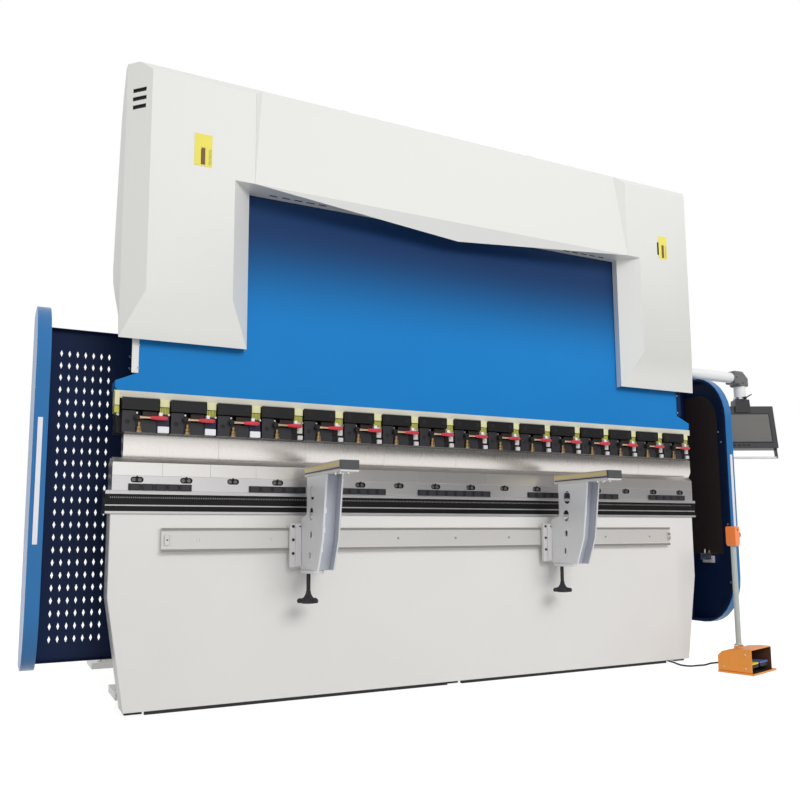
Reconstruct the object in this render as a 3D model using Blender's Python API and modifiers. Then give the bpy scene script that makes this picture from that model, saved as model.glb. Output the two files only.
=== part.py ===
"""Hydraulic press brake with quick-clamp tooling, built as separate named pieces.

Frame: X runs along the bending line, Y to the rear, Z up. The origin is on the floor,
under the middle of the bending line. Metres throughout.
"""
import math

import bmesh
import bpy
from mathutils import Matrix, Vector

# ---------------------------------------------------------------- driving dimensions
GAP = 0.0003                 # between pieces that touch or rest on each other
SHEET = 0.004                # folded sheet covers
BED_HALF = 1.600             # half length of the bed at its top
BED_FOOT_HALF = 1.526        # half length of the bed at the floor
BED_TOP = 0.800
BED_CLEARANCE = 0.014        # underside of the bed above the floor, between its pads
BED_PAD_X = 1.480
BED_KINK = 0.466             # height where the bed's ends start to taper
BED_HALF_DEPTH = 0.050
TABLE_HALF = 1.621
TABLE_HALF_DEPTH = 0.058
DIE_HALF = 1.598
DIE_HALF_DEPTH = 0.060
HOLDER_TOP = 0.955
DIE_TOP = 1.030
VEE_HALF = 0.026
VEE_DEPTH = 0.028
PUNCH_LEFT = -1.555
PUNCH_RIGHT = 1.625
PUNCH_TIP = 1.0045
PUNCH_SHOULDER = 1.1277
CLAMP_COUNT = 16
CLAMP_PITCH = 0.195
CLAMP_START = -1.576         # left edge of the first clamp block
CLAMP_BLOCK = 0.148
LEVER_LENGTH = 0.123
LEVER_Z = 1.188
RAM_BOTTOM = 1.302
RAM_FRONT = -0.060
RAM_BACK = 0.040
RAM_SHOULDER = 1.620
RAM_TOP = 2.290
RAM_HALF = 1.519
RAM_TONGUE_HALF = 1.105
RAM_STROKE = 0.200
FRAME_X = 1.330              # middle of each side frame plate
FRAME_HALF_THICK = 0.025
FRAME_REAR = 1.450
FRAME_TOP = 2.420
THROAT_BACK = 0.400
COVER_FRONT = -0.190
COVER_CHAMFER = 0.090
COVER_IN = 1.062
COVER_OUT = 1.600
COVER_FOLD_Z = 1.700
COVER_BOTTOM = 1.515
COVER_TOP = 2.700
COVER_BEVEL = 0.046
WINDOW_TOP = 2.235           # top of the opening between the column covers
APRON_DROP = 0.075
APRON_BACK = 0.050
VENT_SLOTS = ((2.498, 0.0330), (2.535, 0.0345), (2.572, 0.0335))   # height, half width
CYLINDER_R = 0.125
CYLINDER_Y = -0.010
CYLINDER_BOTTOM = 1.840
CYLINDER_TOP = 2.460
ROD_R = 0.060
RUNNING = 0.0003
GUARD_OUT = 1.900
GUARD_HINGE_X = 1.470
GUARD_PANEL_Y = 0.250
GUARD_FRONT = -0.107
GUARD_LOW = 0.182
GUARD_HIGH = 1.658
GUARD_RIM = 0.061
PANEL_LOW = 0.190
PANEL_HIGH = 1.605
PIN_R = 0.010
RAIL_HALF = 1.398
RAIL_LOW = 0.644
RAIL_HIGH = 0.742
SUPPORT_X = (-0.800, 0.560)  # left side plate of each front support
SUPPORT_WIDTH = 0.082
SUPPORT_BACK = -0.129
SUPPORT_FRONT = -0.534
SUPPORT_TOP = 1.0075
ARM_PIVOT = (1.500, 0.200)
ARM_Z = 1.700
ARM_TUBE_R = 0.034
DROP_X = GUARD_OUT + 0.390   # the control head hangs clear of the side guard
DROP_Y = 0.150
SCREEN_YAW = -26.0
SCREEN_TILT = 10.0
PEDAL_YAW = 16.0
PEDAL_AT = (1.525, -0.425)   # middle of the foot station's housing on the floor
PEDAL_HALF_W = 0.118
PEDAL_FRONT = -0.085
PEDAL_REAR = 0.090
GAUGE_RAIL_Z = 0.640
GAUGE_Y = 0.700
CORD_R = 0.0045
CORD_SPACING = 0.0262
CORD_END = (1.500, 0.800)    # gland in the floor of the electrical cabinet


# ---------------------------------------------------------------- scene and helpers
for old in list(bpy.data.objects):
    bpy.data.objects.remove(old, do_unlink=True)

MACHINE = bpy.data.collections.new("press_brake")
CUTTERS = bpy.data.collections.new("press_brake_cutters")
bpy.context.scene.collection.children.link(MACHINE)
bpy.context.scene.collection.children.link(CUTTERS)
CUTTERS.hide_render = True


def paint(obj, colour, roughness, metallic):
    mat = bpy.data.materials.new(obj.name + "_material")
    mat.use_nodes = True
    shader = mat.node_tree.nodes["Principled BSDF"]
    shader.inputs["Base Color"].default_value = (*colour, 1.0)
    shader.inputs["Roughness"].default_value = roughness
    shader.inputs["Metallic"].default_value = metallic
    obj.data.materials.clear()
    obj.data.materials.append(mat)
    return obj


def finish_mesh(name, bm):
    bmesh.ops.remove_doubles(bm, verts=bm.verts, dist=0.00002)
    bmesh.ops.recalc_face_normals(bm, faces=bm.faces)
    mesh = bpy.data.meshes.new(name)
    bm.to_mesh(mesh)
    bm.free()
    obj = bpy.data.objects.new(name, mesh)
    MACHINE.objects.link(obj)
    return obj


def add_box(bm, x, y, z):
    made = bmesh.ops.create_cube(bm, size=1.0)
    size = Vector((x[1] - x[0], y[1] - y[0], z[1] - z[0]))
    middle = Vector((x[0] + x[1], y[0] + y[1], z[0] + z[1])) * 0.5
    for vert in made["verts"]:
        vert.co = Vector([c * s for c, s in zip(vert.co, size)]) + middle


def block(name, x, y, z):
    bm = bmesh.new()
    add_box(bm, x, y, z)
    return finish_mesh(name, bm)


def blocks(name, boxes):
    """Several boxes in one mesh, none touching another; only ever a Boolean operand."""
    bm = bmesh.new()
    for x, y, z in boxes:
        add_box(bm, x, y, z)
    return finish_mesh(name, bm)


AXIS_MAP = {
    "x": Matrix(((0, 0, 1, 0), (1, 0, 0, 0), (0, 1, 0, 0), (0, 0, 0, 1))),
    "y": Matrix(((1, 0, 0, 0), (0, 0, -1, 0), (0, 1, 0, 0), (0, 0, 0, 1))),
    "z": Matrix.Identity(4),
}


def slab(name, loops, axis, low, high):
    """Flat outline (and holes) given in the plane square to axis, extruded from low to high."""
    curve = bpy.data.curves.new(name + "_outline", "CURVE")
    curve.dimensions = "2D"
    curve.fill_mode = "BOTH"
    curve.extrude = (high - low) * 0.5
    for loop in loops:
        spline = curve.splines.new("POLY")
        spline.points.add(len(loop) - 1)
        spline.use_cyclic_u = True
        for point, (u, v) in zip(spline.points, loop):
            point.co = (u, v, 0.0, 1.0)
    holder = bpy.data.objects.new(name + "_outline", curve)
    MACHINE.objects.link(holder)
    bpy.context.view_layer.update()
    ready = holder.evaluated_get(bpy.context.evaluated_depsgraph_get())
    mesh = bpy.data.meshes.new_from_object(ready)
    bpy.data.objects.remove(holder, do_unlink=True)
    bm = bmesh.new()
    bm.from_mesh(mesh)
    bpy.data.meshes.remove(mesh)
    middle = (low + high) * 0.5
    lift = Matrix.Translation((0, 0, -middle if axis == "y" else middle))
    bmesh.ops.transform(bm, matrix=AXIS_MAP[axis] @ lift, verts=bm.verts)
    return finish_mesh(name, bm)


def ring(centre, radius, count):
    return [(centre[0] + radius * math.cos(math.tau * i / count),
             centre[1] + radius * math.sin(math.tau * i / count)) for i in range(count)]


def rod(name, axis, centre, radius, low, high, count=20):
    return slab(name, [ring(centre, radius, count)], axis, low, high)


def sleeve(name, axis, centre, radius, bore, low, high, count=20):
    return slab(name, [ring(centre, radius, count), ring(centre, bore, count)], axis, low, high)


def turned(name, profile, count=24):
    """Profile of (radius, height) points, top to bottom down the outer side, turned about Z."""
    bm = bmesh.new()
    verts = [bm.verts.new((r, 0.0, z)) for r, z in profile]
    for a, b in zip(verts, verts[1:]):
        bm.edges.new((a, b))
    mesh = bpy.data.meshes.new(name)
    bm.to_mesh(mesh)
    bm.free()
    obj = bpy.data.objects.new(name, mesh)
    MACHINE.objects.link(obj)
    mod = obj.modifiers.new("turn", "SCREW")
    mod.axis = "Z"
    mod.angle = math.tau
    mod.steps = count
    mod.render_steps = count
    mod.use_merge_vertices = True
    mod.merge_threshold = 0.0001
    return obj


def put_away(obj):
    for coll in list(obj.users_collection):
        coll.objects.unlink(obj)
    CUTTERS.objects.link(obj)
    obj.hide_render = True
    obj.display_type = "WIRE"


def combine(target, tool, operation):
    mod = target.modifiers.new(operation.lower(), "BOOLEAN")
    mod.operation = operation
    mod.solver = "EXACT"
    mod.object = tool
    put_away(tool)
    return target


def join(target, *tools):
    for tool in tools:
        combine(target, tool, "UNION")
    return target


def cut(target, *tools):
    for tool in tools:
        combine(target, tool, "DIFFERENCE")
    return target


def soften(obj, width):
    mod = obj.modifiers.new("edge", "BEVEL")
    mod.width = width
    mod.segments = 1
    mod.limit_method = "ANGLE"
    mod.angle_limit = math.radians(40)
    return obj


def pivot(obj, point):
    """Put a moving piece's origin on its joint axis."""
    obj.data.transform(Matrix.Translation(-Vector(point)))
    obj.location = Vector(point)
    return obj


def sheet_metal(name, faces, thickness=SHEET):
    """Folded sheet from its outer faces (lists of corner points), wound to face out."""
    bm = bmesh.new()
    for corners in faces:
        bm.faces.new([bm.verts.new(c) for c in corners])
    bmesh.ops.remove_doubles(bm, verts=bm.verts, dist=0.00002)
    bmesh.ops.triangulate(bm, faces=bm.faces)
    bmesh.ops.recalc_face_normals(bm, faces=bm.faces)
    front = min(bm.faces, key=lambda f: f.calc_center_median().y)
    if front.normal.y > 0:
        bmesh.ops.reverse_faces(bm, faces=bm.faces)
    mesh = bpy.data.meshes.new(name)
    bm.to_mesh(mesh)
    bm.free()
    obj = bpy.data.objects.new(name, mesh)
    MACHINE.objects.link(obj)
    mod = obj.modifiers.new("sheet", "SOLIDIFY")
    mod.thickness = thickness
    mod.offset = -1.0
    mod.use_even_offset = True
    return obj


WHITE = (0.80, 0.80, 0.77)
BLUE = (0.03, 0.17, 0.42)
DARK_BLUE = (0.015, 0.05, 0.16)
STEEL = (0.62, 0.61, 0.59)
BLACK = (0.02, 0.02, 0.022)


# ---------------------------------------------------------------- side frames
def side_frame(side, name):
    x = side * FRAME_X
    low = x - FRAME_HALF_THICK
    high = x + FRAME_HALF_THICK
    front = BED_HALF_DEPTH + GAP
    jaw = RAM_BACK + GAP
    clear = TABLE_HALF_DEPTH + 0.006
    rod_clear = CYLINDER_Y + ROD_R + 0.0033
    outline = [(front, 0.030), (FRAME_REAR, 0.030), (FRAME_REAR, 1.55), (1.22, FRAME_TOP),
               (0.150, FRAME_TOP), (0.150, 1.800), (rod_clear, 1.800), (rod_clear, 1.615),
               (jaw, 1.615), (jaw, 1.440), (0.330, 1.440), (0.380, 1.420),
               (THROAT_BACK, 1.370), (THROAT_BACK, 0.930), (0.380, 0.880), (0.330, 0.860),
               (clear, 0.860), (clear, BED_TOP - 0.003), (front, BED_TOP - 0.003)]
    frame = slab(name, [outline], "x", low, high)
    feet = []
    for y0, y1 in ((0.300, 0.520), (1.200, 1.440)):
        feet.append((((x - 0.176), (x + 0.176)), (y0, y1), (0.0, 0.032)))
    join(frame, blocks(name + "_feet", feet))
    gussets = blocks(name + "_gussets", [((x - 0.120, x + 0.120), (y, y + 0.016), (0.025, 0.160))
                                         for y in (0.400, 1.310)])
    join(frame, gussets)
    # brackets that reach round the cylinder and carry the column cover
    reach = COVER_OUT - SHEET - GAP
    brackets = []
    for z in (1.950, 2.250):
        brackets.append((sorted((x, side * 1.482)), (0.160, 0.185), (z, z + 0.030)))
    join(frame, blocks(name + "_cover_bars", brackets))
    brackets = []
    for z in (1.950, 2.250):
        brackets.append((sorted((side * 1.462, side * 1.480)), (0.032, 0.180),
                         (z + 0.001, z + 0.029)))
    join(frame, blocks(name + "_cover_arms", brackets))
    brackets = []
    for z in (1.950, 2.250):
        brackets.append((sorted((side * 1.466, side * reach)), (0.030, 0.056),
                         (z + 0.002, z + 0.028)))
    join(frame, blocks(name + "_cover_ends", brackets))
    # brackets and pin that carry the side guard
    ends = sorted((x, side * (GUARD_HINGE_X + 0.022)))
    arms = [(tuple(ends), (0.215, 0.285), (PANEL_LOW - 0.040, PANEL_LOW - 0.015)),
            (tuple(ends), (0.215, 0.430), (PANEL_HIGH + 0.006, PANEL_HIGH + 0.022))]
    join(frame, blocks(name + "_arms", arms))
    join(frame, rod(name + "_pin", "z", (side * GUARD_HINGE_X, GUARD_PANEL_Y), PIN_R,
                    PANEL_LOW - 0.030, PANEL_HIGH + 0.014, 16))
    return paint(frame, WHITE, 0.45, 0.0)


frame_left = side_frame(-1, "side_frame_left")
frame_right = side_frame(1, "side_frame_right")
# pivot post for the control pendant on the right side frame
post_arm = block("pendant_post_arm", (FRAME_X, ARM_PIVOT[0] + 0.050), (0.160, 0.240),
                 (ARM_Z - 0.075, ARM_Z - 0.050))
post_pin = rod("pendant_post_pin", "z", ARM_PIVOT, 0.022, ARM_Z - 0.060, ARM_Z + 0.045, 20)
join(frame_right, post_arm, post_pin)

# ---------------------------------------------------------------- bed, table and die
bed = slab("bed_plate", [[(-BED_FOOT_HALF, BED_CLEARANCE), (BED_FOOT_HALF, BED_CLEARANCE),
                          (BED_HALF, BED_KINK), (BED_HALF, BED_TOP), (-BED_HALF, BED_TOP),
                          (-BED_HALF, BED_KINK)]],
           "y", -BED_HALF_DEPTH, BED_HALF_DEPTH)
soften(bed, 0.003)
join(bed, blocks("bed_pads", [((x - 0.035, x + 0.035), (-0.020, 0.045), (0.0, 0.030))
                              for x in (-BED_PAD_X, 0.0, BED_PAD_X)]))
paint(bed, WHITE, 0.42, 0.0)

TABLE_LOW = BED_TOP + GAP
TABLE_HIGH = 0.894
front_side = [(-TABLE_HALF_DEPTH, TABLE_LOW), (-TABLE_HALF_DEPTH, 0.8095),
              (-0.055, 0.8095), (-0.055, 0.832), (-0.051, 0.832), (-0.051, 0.836),
              (-0.055, 0.836), (-0.055, 0.880), (-TABLE_HALF_DEPTH, 0.880),
              (-TABLE_HALF_DEPTH, TABLE_HIGH)]
back_side = [(-y, z) for y, z in reversed(front_side)]
table = slab("crowning_table", [front_side + back_side], "x", -TABLE_HALF, TABLE_HALF)
paint(table, BLACK, 0.4, 0.6)

holder = block("die_holder", (-DIE_HALF, DIE_HALF), (-DIE_HALF_DEPTH, DIE_HALF_DEPTH),
               (TABLE_HIGH + GAP, HOLDER_TOP))
wedge_spans = [(-1.535, -1.277), (-1.031, -0.769), (-0.653, -0.370), (-0.200, 0.213),
               (0.441, 1.043), (1.262, 1.535)]
join(holder, blocks("die_holder_wedges", [(span, (-0.066, -0.040), (TABLE_HIGH + GAP, 0.922))
                                          for span in wedge_spans]))
pockets = [((-1.528 + 0.2 * i, -1.472 + 0.2 * i), (-0.080, -0.046), (0.929, 0.948))
           for i in range(16)]
cut(holder, blocks("die_holder_pockets", pockets))
paint(holder, STEEL, 0.3, 0.9)

half_top = 0.035
die_outline = [(-DIE_HALF_DEPTH, HOLDER_TOP + GAP), (DIE_HALF_DEPTH, HOLDER_TOP + GAP),
               (DIE_HALF_DEPTH, 1.009), (half_top, DIE_TOP), (VEE_HALF, DIE_TOP),
               (0.0, DIE_TOP - VEE_DEPTH), (-VEE_HALF, DIE_TOP), (-half_top, DIE_TOP),
               (-DIE_HALF_DEPTH, 1.009)]
die = slab("lower_die", [die_outline], "x", -DIE_HALF, DIE_HALF)
paint(die, STEEL, 0.28, 0.95)

slide_rail = slab("support_rail", [[(-0.0755, RAIL_LOW), (-0.0755, RAIL_LOW + 0.010),
                                    (-0.070, RAIL_LOW + 0.014), (-0.070, RAIL_HIGH - 0.014),
                                    (-0.0755, RAIL_HIGH - 0.010), (-0.0755, RAIL_HIGH),
                                    (-BED_HALF_DEPTH - GAP, RAIL_HIGH),
                                    (-BED_HALF_DEPTH - GAP, RAIL_LOW)]],
                  "x", -RAIL_HALF, RAIL_HALF)
paint(slide_rail, (0.72, 0.72, 0.70), 0.35, 0.5)

# ---------------------------------------------------------------- cross members and tank
INNER_HALF = FRAME_X - FRAME_HALF_THICK - GAP
rear_beam = block("rear_beam", (-INNER_HALF, INNER_HALF), (1.100, 1.140), (0.120, 0.600))
cut(rear_beam, blocks("rear_beam_windows", [((x - 0.28, x + 0.28), (1.05, 1.19), (0.22, 0.50))
                                            for x in (-0.75, 0.0, 0.75)]))
paint(rear_beam, WHITE, 0.45, 0.0)
DECK_TOP = 2.030
deck = block("tank_deck", (-INNER_HALF, INNER_HALF), (0.300, 1.150), (DECK_TOP - 0.020, DECK_TOP))
join(deck, block("tank_deck_lip", (-INNER_HALF, INNER_HALF), (0.300, 0.325),
                 (DECK_TOP - 0.280, DECK_TOP - 0.010)))
paint(deck, WHITE, 0.45, 0.0)

TANK_X = (-0.950, 0.250)
TANK_Y = (0.420, 1.020)
TANK_TOP = 2.520
TANK_WALL = 0.005
TANK_FILLER = (-0.700, 0.600)
FILLER_HALF = 0.032
tank = block("oil_tank", TANK_X, TANK_Y, (DECK_TOP + GAP, TANK_TOP))
cut(tank, block("oil_tank_hollow", (TANK_X[0] + TANK_WALL, TANK_X[1] - TANK_WALL),
                (TANK_Y[0] + TANK_WALL, TANK_Y[1] - TANK_WALL),
                (DECK_TOP + 0.006, TANK_TOP - 0.006)))
cut(tank, block("oil_tank_filler", (TANK_FILLER[0] - FILLER_HALF, TANK_FILLER[0] + FILLER_HALF),
                (TANK_FILLER[1] - FILLER_HALF, TANK_FILLER[1] + FILLER_HALF),
                (TANK_TOP - 0.05, TANK_TOP + 0.05)))
paint(tank, BLUE, 0.4, 0.0)

motor_profile = [(0.0, 0.240), (0.100, 0.240), (0.112, 0.220), (0.112, 0.030), (0.125, 0.026),
                 (0.125, 0.0), (0.075, -0.004), (0.070, -0.150), (0.0, -0.150)]
motor = turned("pump_motor", motor_profile, 24)
motor_feet = block("pump_motor_feet", (-0.1455, -0.090), (-0.100, 0.100), (0.030, 0.210))
join(motor, motor_feet)
motor.location = (0.720, 0.720, DECK_TOP + GAP + 0.1455)
motor.rotation_euler = (0.0, math.radians(-90), 0.0)
motor_feet.location = motor.location
motor_feet.rotation_euler = motor.rotation_euler
paint(motor, (0.10, 0.12, 0.15), 0.5, 0.2)

# ---------------------------------------------------------------- hydraulic cylinders
for side, word in ((-1, "left"), (1, "right")):
    x = side * FRAME_X
    body = turned("cylinder_" + word,
                  [(0.0, CYLINDER_TOP), (CYLINDER_R - 0.02, CYLINDER_TOP),
                   (CYLINDER_R, CYLINDER_TOP - 0.02), (CYLINDER_R, CYLINDER_BOTTOM + 0.04),
                   (CYLINDER_R + 0.012, CYLINDER_BOTTOM + 0.04),
                   (CYLINDER_R + 0.012, CYLINDER_BOTTOM),
                   (ROD_R + RUNNING, CYLINDER_BOTTOM), (ROD_R + RUNNING, CYLINDER_TOP - 0.03),
                   (0.0, CYLINDER_TOP - 0.03)], 28)
    body.location = (x, CYLINDER_Y, 0.0)
    mount = block("cylinder_mount_" + word, (x - 0.110, x + 0.110), (0.085, 0.150 - GAP),
                  (1.900, 2.400))
    join(body, mount)
    paint(body, (0.10, 0.11, 0.12), 0.4, 0.7)
    stem = turned("piston_rod_" + word,
                  [(0.0, 2.220), (ROD_R, 2.220), (ROD_R, RAM_SHOULDER + GAP + 0.020),
                   (0.048, RAM_SHOULDER + GAP + 0.018), (0.048, RAM_SHOULDER + GAP),
                   (0.0, RAM_SHOULDER + GAP)], 28)
    stem.location = (x, CYLINDER_Y, 0.0)
    paint(stem, (0.75, 0.75, 0.76), 0.12, 1.0)

# ---------------------------------------------------------------- ram and upper tooling
half_outline = [(1.588, RAM_BOTTOM), (1.600, RAM_BOTTOM + 0.012), (1.600, 1.343),
                (RAM_HALF, 1.378), (RAM_HALF, RAM_SHOULDER), (RAM_TONGUE_HALF, RAM_SHOULDER),
                (RAM_TONGUE_HALF, RAM_TOP)]
ram_outline = half_outline + [(-x, z) for x, z in reversed(half_outline)]
ram = slab("ram", [ram_outline], "y", RAM_FRONT, RAM_BACK)
paint(ram, BLUE, 0.38, 0.0)

RAIL_TOP = RAM_BOTTOM - GAP
JAW_LOW = PUNCH_SHOULDER + GAP
beam_outline = [(-0.058, JAW_LOW), (-0.0135, JAW_LOW), (-0.0135, 1.205), (0.0135, 1.205),
                (0.0135, JAW_LOW), (0.040, JAW_LOW), (0.040, RAIL_TOP), (-0.058, RAIL_TOP)]
clamps = slab("clamp_beam", [beam_outline], "x", -1.590, 1.590)
upper_blocks = []
lower_blocks = []
spacers = [((-1.604, -1.585), (-0.100, -0.040), (1.205, 1.296))]
for i in range(CLAMP_COUNT):
    left = CLAMP_START + CLAMP_PITCH * i
    upper_blocks.append(((left, left + CLAMP_BLOCK), (-0.115, -0.050), (1.219, 1.268)))
    lower_blocks.append(((left + 0.002, left + CLAMP_BLOCK - 0.006), (-0.106, -0.050),
                         (JAW_LOW + 0.001, 1.216)))
    spacers.append(((left + CLAMP_BLOCK + 0.004, left + CLAMP_PITCH - 0.004), (-0.096, -0.050),
                    (1.212, 1.262)))
join(clamps, blocks("clamp_upper_blocks", upper_blocks))
join(clamps, blocks("clamp_lower_blocks", lower_blocks))
join(clamps, blocks("clamp_spacers", spacers))
paint(clamps, (0.05, 0.05, 0.055), 0.45, 0.4)

punch_outline = [(0.0, PUNCH_TIP), (0.030, 1.057), (0.030, PUNCH_SHOULDER),
                 (0.0130, PUNCH_SHOULDER), (0.0130, 1.200), (-0.0130, 1.200),
                 (-0.0130, PUNCH_SHOULDER), (-0.030, PUNCH_SHOULDER), (-0.030, 1.057)]
punch = slab("punch", [punch_outline], "x", PUNCH_LEFT, PUNCH_RIGHT)
paint(punch, STEEL, 0.25, 0.95)

for i in range(CLAMP_COUNT):
    px = CLAMP_START + CLAMP_PITCH * i + 0.058
    lever = slab("clamp_lever_%02d" % (i + 1),
                 [[(px - 0.011, LEVER_Z - 0.011), (px + 0.011, LEVER_Z - 0.011),
                   (px + 0.050, LEVER_Z - 0.007), (px + LEVER_LENGTH - 0.004, LEVER_Z - 0.009),
                   (px + LEVER_LENGTH, LEVER_Z), (px + LEVER_LENGTH - 0.004, LEVER_Z + 0.009),
                   (px + 0.050, LEVER_Z + 0.007), (px + 0.011, LEVER_Z + 0.011),
                   (px - 0.011, LEVER_Z + 0.011)]], "y", -0.135, -0.106 - GAP)
    pivot(lever, (px, -0.120, LEVER_Z))
    paint(lever, (0.60, 0.05, 0.05), 0.4, 0.2)


# ---------------------------------------------------------------- covers
def column_cover(side, name):
    front = COVER_FRONT
    deep = COVER_FRONT + COVER_CHAMFER
    bevel_y = COVER_FRONT + COVER_BEVEL
    bevel_z = COVER_TOP - COVER_BEVEL
    inner = COVER_IN + COVER_CHAMFER
    outer = COVER_OUT - COVER_CHAMFER
    wall = RAM_FRONT - 0.004
    top_out = outer + COVER_BEVEL
    faces = [
        [(inner, front, COVER_FOLD_Z), (outer, front, COVER_FOLD_Z), (outer, front, bevel_z),
         (COVER_IN, front, bevel_z), (COVER_IN, front, WINDOW_TOP), (inner, front, WINDOW_TOP)],
        [(inner, front, COVER_FOLD_Z), (inner, front, WINDOW_TOP), (COVER_IN, deep, WINDOW_TOP),
         (COVER_IN, deep, COVER_BOTTOM)],
        [(inner, front, COVER_FOLD_Z), (COVER_IN, deep, COVER_BOTTOM),
         (COVER_OUT, deep, COVER_BOTTOM), (outer, front, COVER_FOLD_Z)],
        [(outer, front, COVER_FOLD_Z), (COVER_OUT, deep, COVER_BOTTOM),
         (COVER_OUT, deep, COVER_TOP), (top_out, bevel_y, COVER_TOP), (outer, front, bevel_z)],
        [(outer, front, bevel_z), (top_out, bevel_y, COVER_TOP), (COVER_IN, bevel_y, COVER_TOP),
         (COVER_IN, front, bevel_z)],
        [(top_out, bevel_y, COVER_TOP), (COVER_OUT, deep, COVER_TOP),
         (COVER_OUT, -0.062, COVER_TOP), (1.450, 0.100, COVER_TOP), (COVER_IN, 0.100, COVER_TOP),
         (COVER_IN, wall, COVER_TOP), (COVER_IN, bevel_y, COVER_TOP)],
        [(COVER_OUT, deep, COVER_BOTTOM), (COVER_OUT, -0.082, 1.610), (COVER_OUT, 0.035, 1.714),
         (COVER_OUT, 0.120, 1.800), (COVER_OUT, 0.142, 1.870), (COVER_OUT, 0.120, 2.020),
         (COVER_OUT, 0.080, 2.260), (COVER_OUT, 0.033, 2.520), (COVER_OUT, -0.010, 2.620),
         (COVER_OUT, -0.062, COVER_TOP), (COVER_OUT, deep, COVER_TOP)],
        [(COVER_IN, deep, WINDOW_TOP), (COVER_IN, deep, COVER_BOTTOM),
         (COVER_IN, wall, COVER_BOTTOM), (COVER_IN, wall, WINDOW_TOP)],
        [(COVER_IN, front, WINDOW_TOP), (inner, front, WINDOW_TOP), (COVER_IN, deep, WINDOW_TOP)],
        [(COVER_IN, front, WINDOW_TOP), (COVER_IN, front, bevel_z),
         (COVER_IN, bevel_y, COVER_TOP), (COVER_IN, wall, COVER_TOP), (COVER_IN, wall, WINDOW_TOP),
         (COVER_IN, deep, WINDOW_TOP)],
    ]
    mirrored = [[(side * x, y, z) for x, y, z in face] for face in faces]
    cover = sheet_metal(name, mirrored)
    # window for the stroke scale and three vents in the outer chamfer
    sx = side * 1.293
    cut(cover, block(name + "_scale_slot", (sx - 0.009, sx + 0.009), (front - 0.02, front + 0.02),
                     (2.272, 2.346)))
    vents = blocks(name + "_vents", [((-half_w, half_w), (-0.030, 0.030), (z - 0.009, z + 0.009))
                                     for z, half_w in VENT_SLOTS])
    vents.location = (side * (outer + 0.045), front + 0.045, 0.0)
    vents.rotation_euler = (0.0, 0.0, side * math.radians(45))
    cut(cover, vents)
    return paint(cover, WHITE, 0.45, 0.0)


column_cover(-1, "column_cover_left")
column_cover(1, "column_cover_right")

half = COVER_IN - GAP
cheek = half - 0.040
front = COVER_FRONT
bevel_y = COVER_FRONT + COVER_BEVEL
bevel_z = COVER_TOP - COVER_BEVEL
wall = RAM_FRONT - 0.004
low_left = (-half, front, WINDOW_TOP)
low_right = (half, front, WINDOW_TOP)
tip = (0.0, front + APRON_BACK, WINDOW_TOP - APRON_DROP)
back_mid = (0.0, wall, WINDOW_TOP)
centre_faces = [
    [low_left, low_right, (cheek, bevel_y, COVER_TOP), (-cheek, bevel_y, COVER_TOP)],
    [low_left, (-cheek, bevel_y, COVER_TOP), (-half, front, bevel_z)],
    [low_right, (half, front, bevel_z), (cheek, bevel_y, COVER_TOP)],
    [(-half, front, bevel_z), (-cheek, bevel_y, COVER_TOP), (-half, bevel_y, COVER_TOP)],
    [(half, front, bevel_z), (half, bevel_y, COVER_TOP), (cheek, bevel_y, COVER_TOP)],
    [low_left, tip, low_right],
    [low_left, (-half, wall, WINDOW_TOP), back_mid],
    [low_left, back_mid, tip],
    [low_right, back_mid, (half, wall, WINDOW_TOP)],
    [low_right, tip, back_mid],
    [(-half, bevel_y, COVER_TOP), (-cheek, bevel_y, COVER_TOP), (cheek, bevel_y, COVER_TOP),
     (half, bevel_y, COVER_TOP), (half, 0.100, COVER_TOP), (-half, 0.100, COVER_TOP)],
]
centre = sheet_metal("centre_cover", centre_faces)
eyes = blocks("centre_cover_eyes", [((x - 0.018, x + 0.018), (-0.106, -0.094),
                                     (COVER_TOP - 0.003, COVER_TOP + 0.026))
                                    for x in (-0.600, 0.480)])
trim_z = (WINDOW_TOP - 0.135, COVER_TOP + 0.100)
cut(centre, blocks("centre_cover_trim", [((half, half + 0.1), (-0.3, 0.2), trim_z),
                                         ((-half - 0.1, -half), (-0.3, 0.2), trim_z)]))
join(centre, eyes)
paint(centre, WHITE, 0.45, 0.0)


# ---------------------------------------------------------------- side guards
def guard_outline(inset):
    """Rounded D outline in the Y-Z plane, front edge straight, corners swept back."""
    points = []
    r = 0.230
    for corner in ((GUARD_HIGH, 1.0), (GUARD_LOW, -1.0)):
        centre_z = corner[0] - corner[1] * r * 1.18
        sweep = [90, 68, 46, 24, 0] if corner[1] > 0 else [0, 24, 46, 68, 90]
        for angle in sweep:
            a = math.radians(angle)
            points.append((GUARD_FRONT + r - (r - inset) * math.cos(a),
                           centre_z + corner[1] * (r * 1.18 - inset) * math.sin(a)))
    return points


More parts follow.
